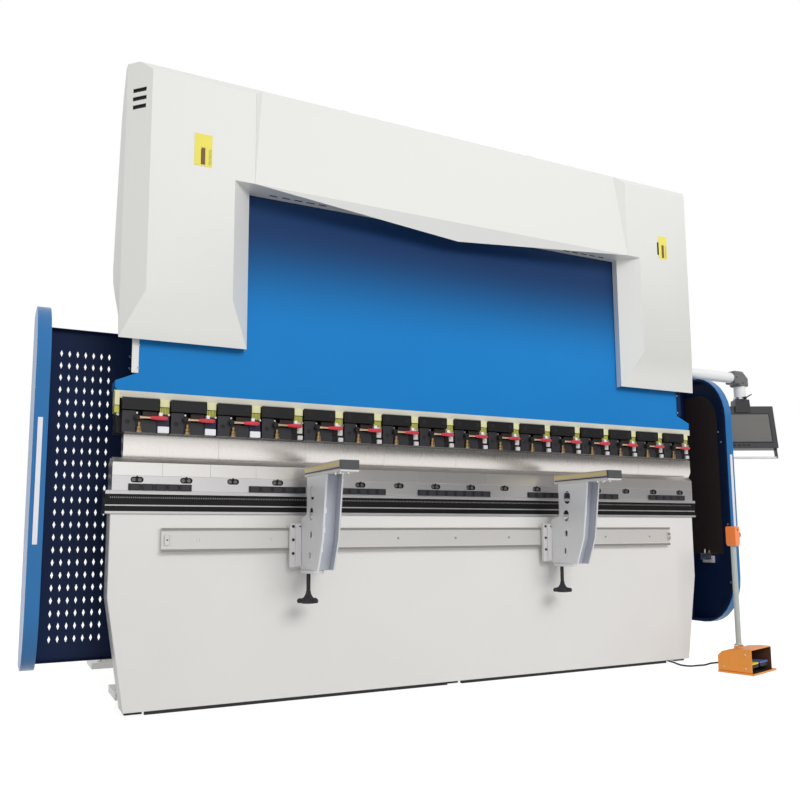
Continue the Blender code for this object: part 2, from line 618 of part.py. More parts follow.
def side_guard(side, word):
    panel_x = sorted((side * (GUARD_HINGE_X + 0.016), side * (GUARD_OUT - 0.004 - GAP)))
    panel = block("guard_panel_" + word, tuple(panel_x), (GUARD_PANEL_Y - 0.002,
                                                         GUARD_PANEL_Y + 0.002),
                  (PANEL_LOW, PANEL_HIGH))
    inner_x = sorted((side * (GUARD_HINGE_X + 0.016), side * (GUARD_OUT - GUARD_RIM)))
    returns = blocks("guard_returns_" + word,
                     [(tuple(inner_x), (GUARD_PANEL_Y - 0.030, GUARD_PANEL_Y + 0.0015),
                       (z, z + 0.004)) for z in (PANEL_LOW, PANEL_HIGH - 0.004)])
    join(panel, returns)
    knuckles = []
    for i, z in enumerate((0.260, 0.860, 1.440)):
        tube = sleeve("guard_knuckle_%s_%d" % (word, i), "z", (side * GUARD_HINGE_X, GUARD_PANEL_Y),
                      0.018, PIN_R + RUNNING, z, z + 0.090, 16)
        knuckles.append(tube)
    join(panel, *knuckles)
    pivot(panel, (side * GUARD_HINGE_X, GUARD_PANEL_Y, 0.0))
    for tube in knuckles + [returns]:
        pivot(tube, (side * GUARD_HINGE_X, GUARD_PANEL_Y, 0.0))
    paint(panel, DARK_BLUE, 0.4, 0.0)
    outer = guard_outline(0.0)
    inner = guard_outline(0.004)
    back = GUARD_PANEL_Y + 0.030
    rim_loop = ([(back, GUARD_HIGH)] + outer + [(back, GUARD_LOW), (back, GUARD_LOW + 0.004)]
                + list(reversed(inner)) + [(back, GUARD_HIGH - 0.004)])
    xs = sorted((side * GUARD_OUT, side * (GUARD_OUT - GUARD_RIM)))
    rim = slab("guard_side_" + word, [rim_loop], "x", xs[0], xs[1])
    skin_x = sorted((side * GUARD_OUT, side * (GUARD_OUT - 0.004)))
    skin = slab("guard_skin_" + word, [[(back, GUARD_HIGH)] + outer + [(back, GUARD_LOW)]],
                "x", skin_x[0], skin_x[1])
    join(rim, skin)
    pivot(rim, (side * GUARD_HINGE_X, GUARD_PANEL_Y, 0.0))
    pivot(skin, (side * GUARD_HINGE_X, GUARD_PANEL_Y, 0.0))
    paint(rim, BLUE, 0.38, 0.0)


side_guard(-1, "left")
side_guard(1, "right")


# ---------------------------------------------------------------- front supports
CARRIAGE_BACK = -0.0755 - GAP
STEM_Y = -0.155
FOOT_LOW = 0.548
for x0, word in zip(SUPPORT_X, ("left", "right")):
    x1 = x0 + SUPPORT_WIDTH
    carriage = block("support_carriage_" + word, (x0 - 0.062, x0 + 0.116),
                     (-0.094, CARRIAGE_BACK), (0.570, 0.762))
    paint(soften(carriage, 0.002), (0.80, 0.80, 0.80), 0.4, 0.2)
    arm_front = [(-0.381, 0.9615), (-0.340, 0.690), (-0.286, 0.562)]
    plate_outline = [(-0.094 - GAP, 0.562), (-0.094 - GAP, 0.780), (-0.160, 0.800),
                     (-0.160, 0.9615)] + arm_front
    arm = slab("support_arm_" + word, [plate_outline], "x", x0, x1 - 0.002)
    inside = [(-0.080, 0.570), (-0.080, 0.950)] + [(-0.377, 0.950), (-0.336, 0.690),
                                                   (-0.283, 0.570)]
    cut(arm, slab("support_arm_inside_" + word, [inside], "x", x0 + 0.004, x1 - 0.006))
    cut(arm, rod("support_hole_high_" + word, "x", (-0.225, 0.890), 0.032, x0 - 0.01, x0 + 0.03, 20),
        rod("support_hole_low_" + word, "x", (-0.215, 0.800), 0.026, x0 - 0.01, x0 + 0.03, 20))
    table_top = slab("support_table_" + word,
                     [[(x0 - 0.0005, SUPPORT_BACK), (x1, SUPPORT_BACK), (x1, SUPPORT_FRONT),
                       (x0 - 0.0005, SUPPORT_FRONT)]], "z", 0.961, SUPPORT_TOP)
    sole = block("support_sole_" + word, (x0 - 0.020, x0 + 0.070), (-0.240, -0.094 - GAP),
                 (FOOT_LOW, 0.566))
    join(arm, table_top, sole)
    cut(arm, rod("support_stem_hole_" + word, "z", (x0 + 0.012, STEM_Y), 0.0093,
                 FOOT_LOW - 0.05, FOOT_LOW + 0.06, 16))
    paint(arm, (0.66, 0.67, 0.69), 0.35, 0.4)
    knob = turned("support_knob_" + word,
                  [(0.0, 0.605), (0.009, 0.605), (0.009, 0.462), (0.016, 0.455), (0.020, 0.446),
                   (0.044, 0.440), (0.050, 0.430), (0.044, 0.420), (0.0, 0.420)], 20)
    knob.location = (x0 + 0.012, STEM_Y, 0.0)
    paint(knob, BLACK, 0.5, 0.1)

# ---------------------------------------------------------------- control pendant
arm = rod("pendant_arm", "x", (ARM_PIVOT[1] - 0.050, ARM_Z), ARM_TUBE_R, ARM_PIVOT[0] - 0.030,
          DROP_X - 0.040, 24)
hub = sleeve("pendant_hub", "z", ARM_PIVOT, 0.048, 0.022 + RUNNING, ARM_Z - 0.050 + GAP,
             ARM_Z + 0.048, 24)
web = block("pendant_web", (ARM_PIVOT[0] - 0.020, ARM_PIVOT[0] + 0.020),
            (ARM_PIVOT[1] - 0.070, ARM_PIVOT[1] - 0.024), (ARM_Z - 0.030, ARM_Z + 0.030))
elbow = slab("pendant_elbow", [[(DROP_X - 0.110, ARM_Z - 0.044), (DROP_X - 0.052, ARM_Z - 0.044),
                                (DROP_X - 0.046, ARM_Z - 0.060), (DROP_X + 0.046, ARM_Z - 0.060),
                                (DROP_X + 0.046, ARM_Z - 0.002), (DROP_X - 0.008, ARM_Z + 0.046),
                                (DROP_X - 0.110, ARM_Z + 0.046)]],
             "y", DROP_Y - 0.044, DROP_Y + 0.044)
drop = rod("pendant_drop", "z", (DROP_X, DROP_Y), 0.036, 1.560, ARM_Z - 0.040, 24)
join(arm, hub, web, elbow, drop)
cut(arm, rod("pendant_bore", "z", ARM_PIVOT, 0.022 + RUNNING, ARM_Z - 0.10, ARM_Z + 0.10, 20))
spigot_hole = rod("pendant_spigot_hole", "z", (DROP_X, DROP_Y), 0.020 + RUNNING, 1.50, 1.62, 20)
cut(arm, spigot_hole)
paint(arm, (0.82, 0.82, 0.82), 0.4, 0.0)
for piece in (arm, hub, web, elbow, drop, spigot_hole, bpy.data.objects["pendant_bore"]):
    pivot(piece, (ARM_PIVOT[0], ARM_PIVOT[1], 0.0))

# control head, built about its own swivel axis and then turned to face the operator
SCREEN_W = 0.198
SCREEN_H = 0.140
face_turn = Matrix.Translation((0, -0.012, -0.186)) @ Matrix.Rotation(
    math.radians(-SCREEN_TILT), 4, "X")
case = block("control_head", (-SCREEN_W, SCREEN_W), (-0.034, 0.034), (-SCREEN_H, SCREEN_H))
case.data.transform(face_turn)
neck = slab("control_neck", [[(-0.052, -0.085), (0.052, -0.085), (0.044, 0.0 - GAP),
                              (-0.044, 0.0 - GAP)]], "y", -0.038, 0.044)
spigot = rod("control_spigot", "z", (0.0, 0.0), 0.020, -0.030, 0.050, 20)
handle_parts = blocks("control_handle_ends", [((x - 0.006, x + 0.006), (-0.012, 0.012),
                                               (-0.196, -0.130)) for x in (-0.190, 0.190)])
handle_bar = rod("control_handle_bar", "x", (0.0, -0.194), 0.008, -0.200, 0.200, 12)
for piece in (handle_parts, handle_bar):
    piece.data.transform(face_turn)
join(case, neck, spigot, handle_parts, handle_bar)
for piece in (case, neck, spigot, handle_parts, handle_bar):
    piece.location = (DROP_X, DROP_Y, 1.560)
    piece.rotation_euler = (0.0, 0.0, math.radians(SCREEN_YAW))
paint(case, (0.13, 0.13, 0.14), 0.5, 0.1)

# ---------------------------------------------------------------- electrical cabinet
CAB_X = (FRAME_X + FRAME_HALF_THICK + GAP, 1.700)
CAB_Y = (0.700, 1.300)
CAB_Z = (0.900, 1.560)
cabinet = block("electrical_cabinet", CAB_X, CAB_Y, CAB_Z)
cut(cabinet, block("cabinet_hollow", (CAB_X[0] + 0.004, CAB_X[1] + 0.1),
                   (CAB_Y[0] + 0.004, CAB_Y[1] - 0.004), (CAB_Z[0] + 0.004, CAB_Z[1] - 0.004)))
join(cabinet, rod("cabinet_gland", "z", CORD_END, 0.012, CAB_Z[0] - 0.024, CAB_Z[0] + 0.002, 14))
cut(cabinet, rod("cabinet_gland_bore", "z", CORD_END, CORD_R + 0.0008, CAB_Z[0] - 0.040,
                 CAB_Z[0] - 0.002, 12))
paint(cabinet, WHITE, 0.45, 0.0)
door = block("cabinet_door", (CAB_X[1] + 0.0006, CAB_X[1] + 0.022), CAB_Y, CAB_Z)
cut(door, block("cabinet_door_pan", (CAB_X[1] - 0.01, CAB_X[1] + 0.018),
                (CAB_Y[0] + 0.004, CAB_Y[1] - 0.004), (CAB_Z[0] + 0.004, CAB_Z[1] - 0.004)))
lock = block("cabinet_door_lock", (CAB_X[1] + 0.017, CAB_X[1] + 0.034),
             (CAB_Y[0] + 0.025, CAB_Y[0] + 0.045), (1.180, 1.300))
join(door, lock)
for piece in (door, lock, bpy.data.objects["cabinet_door_pan"]):
    pivot(piece, (CAB_X[1] + 0.022, CAB_Y[1], 0.0))
paint(door, WHITE, 0.45, 0.0)

# ---------------------------------------------------------------- back gauge
for frame, side in ((frame_left, -1), (frame_right, 1)):
    xs = sorted((side * (FRAME_X - FRAME_HALF_THICK + 0.002), side * (FRAME_X - 0.075)))
    join(frame, block("gauge_rail_%d" % (side + 1), tuple(xs), (0.420, 1.080),
                      (GAUGE_RAIL_Z, GAUGE_RAIL_Z + 0.030)))
gauge = block("gauge_beam", (-FRAME_X + 0.030, FRAME_X - 0.030), (GAUGE_Y - 0.040, GAUGE_Y + 0.040),
              (GAUGE_RAIL_Z + 0.030 + GAP, GAUGE_RAIL_Z + 0.110))
gauge_rail = block("gauge_beam_rail", (-1.150, 1.150), (GAUGE_Y - 0.015, GAUGE_Y + 0.015),
                   (GAUGE_RAIL_Z + 0.105, GAUGE_RAIL_Z + 0.135))
join(gauge, gauge_rail)
paint(gauge, (0.75, 0.75, 0.74), 0.35, 0.3)
for x, word in ((-0.500, "left"), (0.500, "right")):
    z0 = GAUGE_RAIL_Z + 0.110 + GAP
    finger = slab("gauge_finger_" + word,
                  [[(GAUGE_Y - 0.045, z0), (GAUGE_Y - 0.045, 0.985), (GAUGE_Y - 0.300, 1.010),
                    (GAUGE_Y - 0.300, 1.050), (GAUGE_Y - 0.270, 1.050), (GAUGE_Y + 0.045, 1.040),
                    (GAUGE_Y + 0.045, z0)]], "x", x - 0.045, x + 0.045)
    cut(finger, block("gauge_finger_slot_" + word, (x - 0.1, x + 0.1),
                      (GAUGE_Y - 0.015 - RUNNING, GAUGE_Y + 0.015 + RUNNING),
                      (z0 - 0.05, GAUGE_RAIL_Z + 0.135 + RUNNING)))
    paint(finger, (0.20, 0.21, 0.23), 0.4, 0.5)

# ---------------------------------------------------------------- foot station
station_turn = math.radians(PEDAL_YAW)
station = []
sole_plate = block("foot_housing", (-PEDAL_HALF_W - 0.004, PEDAL_HALF_W + 0.030),
                   (PEDAL_FRONT - 0.010, PEDAL_REAR), (0.0, 0.010))
hood_outline = [(PEDAL_FRONT, 0.009), (PEDAL_FRONT, 0.126), (-0.030, 0.124), (0.030, 0.112),
                (0.070, 0.094), (PEDAL_REAR, 0.072), (PEDAL_REAR, 0.009)]
hood = slab("foot_hood", [hood_outline], "x", -PEDAL_HALF_W, PEDAL_HALF_W)
hollow_outline = [(PEDAL_FRONT - 0.05, 0.010), (PEDAL_FRONT - 0.05, 0.1225), (-0.030, 0.1205),
                  (0.028, 0.1085), (0.067, 0.091), (PEDAL_REAR - 0.004, 0.070),
                  (PEDAL_REAR - 0.004, 0.010)]
hollow = slab("foot_hollow", [hollow_outline], "x", -PEDAL_HALF_W + 0.004, PEDAL_HALF_W - 0.004)
cut(hood, hollow)
POST_AT = (0.058, 0.056)
POST_SEAT = 0.118
boss = rod("foot_post_boss", "z", POST_AT, 0.026, 0.090, POST_SEAT, 18)
gland = rod("foot_gland", "y", (0.000, 0.030), 0.0100, PEDAL_REAR - 0.003, PEDAL_REAR + 0.022, 14)
gland_bore = rod("foot_gland_bore", "y", (0.000, 0.030), CORD_R + 0.0008, PEDAL_REAR + 0.002,
                 PEDAL_REAR + 0.040, 12)
hinge_rod = rod("foot_hinge_rod", "x", (0.050, 0.030), 0.005, -PEDAL_HALF_W + 0.002,
                PEDAL_HALF_W - 0.002, 12)
join(sole_plate, hood, boss, gland, hinge_rod)
cut(sole_plate, gland_bore)
station += [sole_plate, hood, boss, hollow, gland, gland_bore, hinge_rod]
paint(sole_plate, (0.85, 0.28, 0.04), 0.5, 0.0)
for x, word in ((-0.056, "left"), (0.056, "right")):
    pedal = slab("pedal_" + word, [[(-0.072, 0.030), (-0.070, 0.052), (0.030, 0.046),
                                    (0.050, 0.041), (0.060, 0.030), (0.050, 0.020),
                                    (0.036, 0.026)]],
                 "x", x - 0.048, x + 0.048)
    bore = rod("pedal_bore_" + word, "x", (0.050, 0.030), 0.005 + RUNNING, x - 0.06, x + 0.06, 12)
    cut(pedal, bore)
    pivot(pedal, (0.0, 0.050, 0.030))
    pivot(bore, (0.0, 0.050, 0.030))
    paint(pedal, (0.85, 0.62, 0.05) if x < 0 else (0.05, 0.10, 0.35), 0.5, 0.0)
    station += [pedal, bore]
post = rod("stop_post", "z", POST_AT, 0.014, POST_SEAT + GAP, 0.650, 16)
foot_disc = rod("stop_post_foot", "z", POST_AT, 0.023, POST_SEAT + GAP, POST_SEAT + 0.008, 16)
head = block("stop_head", (POST_AT[0] - 0.035, POST_AT[0] + 0.035),
             (POST_AT[1] - 0.034, POST_AT[1] + 0.034), (0.640, 0.745))
join(post, foot_disc, head)
button_axis = (POST_AT[1], 0.700)
cut(post, rod("stop_button_bore", "x", button_axis, 0.0103, POST_AT[0] + 0.010,
              POST_AT[0] + 0.060, 16))
paint(post, (0.85, 0.28, 0.04), 0.5, 0.0)
button = turned("stop_button", [(0.0, 0.030), (0.012, 0.029), (0.019, 0.024), (0.020, 0.016),
                                (0.018, 0.012), (0.010, 0.011), (0.010, -0.020), (0.0, -0.020)],
                20)
paint(button, (0.60, 0.02, 0.02), 0.35, 0.0)
station += [post, foot_disc, head, bpy.data.objects["stop_button_bore"]]
turn = Matrix.Rotation(station_turn, 4, "Z")
base = Matrix.Translation((PEDAL_AT[0], PEDAL_AT[1], 0.0)) @ turn
for piece in station:
    spot = base @ piece.location
    piece.location = spot
    piece.rotation_euler = (0.0, 0.0, station_turn)
button.location = base @ Vector((POST_AT[0] + 0.035, POST_AT[1], 0.700))
button.rotation_euler = (0.0, math.radians(90), station_turn)

# ---------------------------------------------------------------- foot cord
start = base @ Vector((0.000, PEDAL_REAR + 0.006, 0.030))
leave = base @ Vector((0.000, PEDAL_REAR + 0.034, 0.030))
FLOOR_LINE = CORD_R + GAP
knots = [start, leave, Vector((1.478, -0.245, 0.018)), Vector((1.462, -0.212, FLOOR_LINE)),
         Vector((1.415, -0.205, FLOOR_LINE)), Vector((1.369, -0.200, FLOOR_LINE)),
         Vector((1.352, -0.165, FLOOR_LINE)), Vector((1.362, -0.122, FLOOR_LINE)),
         Vector((1.385, -0.070, FLOOR_LINE)), Vector((1.400, -0.020, FLOOR_LINE)),
         Vector((1.422, 0.040, FLOOR_LINE)), Vector((1.460, 0.100, FLOOR_LINE)),
         Vector((1.515, 0.160, FLOOR_LINE)), Vector((1.555, 0.240, FLOOR_LINE)),
         Vector((1.572, 0.350, FLOOR_LINE)), Vector((1.575, 0.470, FLOOR_LINE)),
         Vector((1.563, 0.580, FLOOR_LINE)), Vector((1.543, 0.660, 0.016)),
         Vector((1.524, 0.722, 0.072)), Vector((1.511, 0.765, 0.180)),
         Vector((1.504, 0.788, 0.340)), Vector((1.501, 0.797, 0.560)),
         Vector((CORD_END[0], CORD_END[1], CAB_Z[0] - 0.100)),
         Vector((CORD_END[0], CORD_END[1], CAB_Z[0] - 0.006))]


def smooth_route(points, spacing):
    """Catmull-Rom curve through the knots, read off at an even spacing."""
    fine = []
    padded = [points[0]] + points + [points[-1]]
    for a, b, c, d in zip(padded, padded[1:], padded[2:], padded[3:]):
        for step in range(40):
            t = step / 40.0
            fine.append(0.5 * ((2 * b) + (c - a) * t + (2 * a - 5 * b + 4 * c - d) * t * t
                               + (3 * b - a - 3 * c + d) * t ** 3))
    fine.append(points[-1])
    route = [fine[0]]
    gone = 0.0
    for p, q in zip(fine, fine[1:]):
        gone += (q - p).length
        if gone >= spacing:
            route.append(q.copy())
            gone = 0.0
    route.append(fine[-1])
    return route


cord_route = smooth_route(knots, CORD_SPACING)
for spot in cord_route:
    spot.z = max(spot.z, FLOOR_LINE)
cord_curve = bpy.data.curves.new("foot_cord", "CURVE")
cord_curve.dimensions = "3D"
cord_curve.bevel_depth = CORD_R
cord_curve.bevel_resolution = 2
cord_curve.use_fill_caps = True
cord_spline = cord_curve.splines.new("POLY")
cord_spline.points.add(len(cord_route) - 1)
for point, spot in zip(cord_spline.points, cord_route):
    point.co = (*spot, 1.0)
cord_holder = bpy.data.objects.new("foot_cord_curve", cord_curve)
MACHINE.objects.link(cord_holder)
bpy.context.view_layer.update()
cord_mesh = bpy.data.meshes.new_from_object(
    cord_holder.evaluated_get(bpy.context.evaluated_depsgraph_get()))
bpy.data.objects.remove(cord_holder, do_unlink=True)
cord_bm = bmesh.new()
cord_bm.from_mesh(cord_mesh)
cord = finish_mesh("foot_cord", cord_bm)
paint(cord, (0.05, 0.05, 0.05), 0.6, 0.0)

bpy.context.view_layer.update()
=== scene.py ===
import math

import bmesh
import bpy
from mathutils import Matrix, Vector


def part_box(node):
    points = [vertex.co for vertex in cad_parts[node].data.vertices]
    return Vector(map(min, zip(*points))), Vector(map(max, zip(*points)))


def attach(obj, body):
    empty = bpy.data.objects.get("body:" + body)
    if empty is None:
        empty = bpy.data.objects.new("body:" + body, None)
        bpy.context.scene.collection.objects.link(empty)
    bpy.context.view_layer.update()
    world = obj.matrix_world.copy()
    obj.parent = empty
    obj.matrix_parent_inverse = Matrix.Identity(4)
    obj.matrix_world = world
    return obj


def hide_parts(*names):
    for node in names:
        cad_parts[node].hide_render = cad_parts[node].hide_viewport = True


bl_info = {
    "name": "Press brake finish",
    "version": (1, 0, 0),
    "blender": (4, 5, 0),
    "location": "3D View > Sidebar > Press brake",
    "description": "Finishes, fittings, stage and camera of a sheet-metal press brake",
    "category": "Add Mesh",
}

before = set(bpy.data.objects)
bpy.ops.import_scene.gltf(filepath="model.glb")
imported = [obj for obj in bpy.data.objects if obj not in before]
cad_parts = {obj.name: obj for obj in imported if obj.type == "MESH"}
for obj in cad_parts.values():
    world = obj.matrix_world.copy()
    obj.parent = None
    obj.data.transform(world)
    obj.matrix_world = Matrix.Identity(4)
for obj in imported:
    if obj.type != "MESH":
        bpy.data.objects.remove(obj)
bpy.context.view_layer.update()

# ---------------------------------------------------------------- sizes in metres
SKIN = 0.0003                # how far a thin part stands clear of what it is fixed to
MERGE = 0.00002
EDGE = 0.0012                # usual rounding of a machined edge
SHEET = 0.004
COVER_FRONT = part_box("column_cover_left")[0].y
COVER_CHAMFER = 0.090
COVER_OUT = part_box("column_cover_right")[1].x
WINDOW_TOP = 2.235
TABLE_LOW, TABLE_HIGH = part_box("crowning_table")
HOLDER_LOW, HOLDER_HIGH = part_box("die_holder")
DIE_LOW, DIE_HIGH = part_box("lower_die")
PUNCH_LOW, PUNCH_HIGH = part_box("punch")
BEAM_LOW, BEAM_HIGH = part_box("clamp_beam")
LEVERS = sorted(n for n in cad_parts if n.startswith("clamp_lever_"))
LEVER_PIVOT = 0.058          # from a clamping unit's left edge to its lever's pivot
LEVER_EYE = 0.011            # radius of the lever's eye, which the lever's box starts from
CLAMP_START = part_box(LEVERS[0])[0].x + LEVER_EYE - LEVER_PIVOT
GUARD_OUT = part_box("guard_side_right")[1].x
GUARD_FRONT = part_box("guard_side_right")[0].y
GUARD_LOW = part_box("guard_side_right")[0].z
GUARD_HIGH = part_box("guard_side_right")[1].z
GUARD_RIM = 0.052
GUARD_CORNER = 0.230
PANEL_Y = 0.250
HINGE_X = 1.470
PENDANT_DROP = Vector((2.290, 0.150, 1.560))
PENDANT_YAW = math.radians(-26.0)
PENDANT_TILT = math.radians(10.0)
STATION = Matrix.Translation((1.525, -0.425, 0.0)) @ Matrix.Rotation(math.radians(16.0), 4, "Z")
STATION_REAR = 0.090
CORD_R = 0.0045
CORD_LINE = CORD_R + 0.0003
CABINET_GLAND = (1.500, 0.800)
CABINET_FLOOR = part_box("cabinet_door")[0].z
UP, FRONT, RIGHT = (0, 0, 1), (0, -1, 0), (1, 0, 0)


def tone(red, green, blue):
    """A 0-255 colour chip as linear light."""
    return tuple(c / 12.92 if c <= 0.04045 else ((c + 0.055) / 1.055) ** 2.4
                 for c in (red / 255, green / 255, blue / 255))


def chip(label, description, red, green, blue):
    return bpy.props.FloatVectorProperty(name=label, description=description, subtype="COLOR",
                                         size=3, min=0.0, max=1.0, default=tone(red, green, blue))


def count_setting(label, description, default):
    return bpy.props.IntProperty(name=label, description=description, default=default, min=1)


def length_setting(label, description, default):
    return bpy.props.FloatProperty(name=label, description=description, default=default,
                                   unit="LENGTH")


def power_setting(label, description, default):
    return bpy.props.FloatProperty(name=label, description=description, default=default,
                                   subtype="POWER")


# ---------------------------------------------------------------- settings a user would change
class PressBrakeColours(bpy.types.PropertyGroup):
    cover_paint: chip("Cover paint", "Warm white coat of the covers and frame", 225, 227, 221)
    bed_paint: chip("Bed paint", "Light grey-white coat of the bed plate", 231, 229, 226)
    ram_paint: chip("Ram paint", "Bright blue of the ram", 28, 126, 198)
    # The ram's upper colour is painted shade: a deeper blue standing for the apron's shadow on the
    # ram.
    ram_shade: chip("Ram painted shade", "Painted shade: deeper blue where the apron shades the ram", 22, 54, 98)
    guard_paint: chip("Guard paint", "Blue of the side guards' rims", 40, 112, 172)
    # The guards' navy, also used as painted shade on the ram's right guide strip.
    guard_lining: chip("Guard lining", "Navy inside of the side guards", 16, 36, 74)
    liner: chip("Liner", "Dark brown sheet inside each guard", 50, 40, 37)
    table_black: chip("Table black", "Blackened bar of the crowning table", 17, 16, 17)
    tool_steel: chip("Tool steel", "Ground steel of punch and die", 242, 239, 236)
    grip: chip("Lever grip", "Red grips of the clamping levers", 205, 44, 58)
    shank: chip("Lever shank", "Nickelled shank of the levers", 214, 184, 150)
    support: chip("Support paint", "Grey-white of the sheet supports", 247, 246, 248)
    pendant_grey: chip("Pendant grey", "Dark grey of the control head", 62, 62, 64)
    screen: chip("Screen", "Unlit screen", 105, 103, 99)
    orange: chip("Foot station", "Orange of the foot station", 233, 107, 38)
    scale_yellow: chip("Scale yellow", "Yellow of the two stroke scales", 236, 224, 100)


class PressBrakeSizes(bpy.types.PropertyGroup):
    clamp_count: count_setting("Clamping units", "Units along the ram", len(LEVERS))
    clamp_pitch: length_setting("Clamp pitch", "From one clamping unit to the next",
                                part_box(LEVERS[1])[0].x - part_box(LEVERS[0])[0].x)
    tooth_pitch: length_setting("Scale pitch", "Between marks of the table's scale", 0.0075)
    holder_bolts: count_setting("Holder bolts", "Bolt pockets in the die holder", 16)
    holder_pitch: length_setting("Holder bolt pitch", "Between bolt pockets", 0.2)
    die_segments: count_setting("Die segments", "Lengths that the lower die is made of", 16)
    punch_segments: count_setting("Punch segments", "Lengths that the punch is made of", 8)
    hole_columns: count_setting("Hole columns", "Diamond holes across a guard panel", 7)
    hole_rows: count_setting("Hole rows", "Diamond holes up a guard panel", 24)
    hole_pitch_x: length_setting("Hole pitch across", "Between hole columns", 0.033)
    hole_pitch_z: length_setting("Hole pitch up", "Between hole rows", 0.053)
    hole_width: length_setting("Hole width", "Width of a diamond hole", 0.0115)
    hole_height: length_setting("Hole height", "Height of a diamond hole", 0.0300)


class PressBrakeStage(bpy.types.PropertyGroup):
    sky: bpy.props.FloatProperty(
        name="Surrounding light", description="Level of the even light all round", default=0.54)
    key: power_setting("Key light", "Power of the large lamp above the front", 288.0)
    fill: power_setting("Fill light", "Power of the lamp on the left", 12.0)


def colours():
    return bpy.context.scene.press_brake_colours


def sizes():
    return bpy.context.scene.press_brake_sizes


# ---------------------------------------------------------------- node trees
def new_socket(tree, name, kind, way="INPUT", default=None):
    socket = tree.interface.new_socket(name=name, in_out=way, socket_type=kind)
    if default is not None:
        socket.default_value = default
    return socket


def node(tree, kind, **settings):
    made = tree.nodes.new(kind)
    for key, value in settings.items():
        setattr(made, key, value)
    return made


def math_node(tree, operation, first, second, clamp=False):
    made = node(tree, "ShaderNodeMath", operation=operation, use_clamp=clamp)
    for socket, value in zip(made.inputs, (first, second)):
        if isinstance(value, (int, float)):
            socket.default_value = value
        else:
            tree.links.new(value, socket)
    return made.outputs[0]


def start_group(name, inputs, outputs):
    """A new shader group with its sockets, its two ends and the Object coordinates."""
    tree = bpy.data.node_groups.new(name, "ShaderNodeTree")
    for label, default in inputs.items():
        kind = "NodeSocketVector" if isinstance(default, tuple) else "NodeSocketFloat"
        new_socket(tree, label, kind, default=default)
    for label in outputs:
        new_socket(tree, label, "NodeSocketFloat", "OUTPUT")
    ends, out = node(tree, "NodeGroupInput"), node(tree, "NodeGroupOutput")
    return tree, ends.outputs, out.inputs, node(tree, "ShaderNodeTexCoord").outputs["Object"]


def noise_node(tree, vector, detail, scale):
    """Noise read at vector; its scale is a number or a socket."""
    made = node(tree, "ShaderNodeTexNoise")
    made.inputs["Detail"].default_value = detail
    tree.links.new(vector, made.inputs["Vector"])
    if isinstance(scale, float):
        made.inputs["Scale"].default_value = scale
    else:
        tree.links.new(scale, made.inputs["Scale"])
    return made.outputs["Fac"]


def edge_wear_group():
    """Mask that is 1 on rubbed edges, broken up by noise."""
    tree, ends, out, place = start_group("edge_wear", {"Width": 0.002, "Amount": 0.5}, ["Mask"])
    rounded = node(tree, "ShaderNodeBevel", samples=4)
    tree.links.new(ends["Width"], rounded.inputs["Radius"])
    real = node(tree, "ShaderNodeNewGeometry")
    dot = node(tree, "ShaderNodeVectorMath", operation="DOT_PRODUCT")
    tree.links.new(rounded.outputs["Normal"], dot.inputs[0])
    tree.links.new(real.outputs["Normal"], dot.inputs[1])
    turned = math_node(tree, "SUBTRACT", 1.0, dot.outputs["Value"])
    broken = math_node(tree, "MULTIPLY", noise_node(tree, place, 4.0, 55.0), 1.8)
    spread = math_node(tree, "MULTIPLY", turned, 7.0, True)
    rubbed = math_node(tree, "MULTIPLY", spread, broken)
    tree.links.new(math_node(tree, "MULTIPLY", rubbed, ends["Amount"], True), out["Mask"])
    return tree


def fine_grain_group():
    """Height and tone of a sprayed or moulded skin."""
    tree, ends, out, place = start_group("fine_grain", {"Scale": 400.0, "Patch Scale": 3.0},
                                         ["Height", "Tone"])
    tree.links.new(noise_node(tree, place, 2.0, ends["Scale"]), out["Height"])
    tree.links.new(noise_node(tree, place, 5.0, ends["Patch Scale"]), out["Tone"])
    return tree


def grinding_group():
    """Fine lines left by grinding along the machine, and slow changes of tone."""
    tree, ends, out, place = start_group(
        "grinding", {"Scale": 600.0, "Stretch": (0.03, 1.0, 1.0)}, ["Height", "Tone"])
    stretched = node(tree, "ShaderNodeVectorMath", operation="MULTIPLY")
    tree.links.new(place, stretched.inputs[0])
    tree.links.new(ends["Stretch"], stretched.inputs[1])
    lines = noise_node(tree, stretched.outputs["Vector"], 3.0, ends["Scale"])
    tree.links.new(lines, out["Height"])
    tree.links.new(noise_node(tree, place, 3.0, 2.2), out["Tone"])
    return tree


def settled_dust_group():
    """Mask of thin dust on faces that look up."""
    tree, ends, out, place = start_group("settled_dust", {"Amount": 0.1}, ["Mask"])
    real = node(tree, "ShaderNodeNewGeometry")
    split = node(tree, "ShaderNodeSeparateXYZ")
    tree.links.new(real.outputs["Normal"], split.inputs[0])
    facing = math_node(tree, "POWER", math_node(tree, "MAXIMUM", split.outputs["Z"], 0.0), 3.0)
    cloudy = math_node(tree, "MULTIPLY", facing, noise_node(tree, place, 6.0, 14.0))
    tree.links.new(math_node(tree, "MULTIPLY", cloudy, ends["Amount"], True), out["Mask"])
    return tree


SHADER_GROUPS = {"edge_wear": edge_wear_group, "fine_grain": fine_grain_group,
                 "grinding": grinding_group, "settled_dust": settled_dust_group}


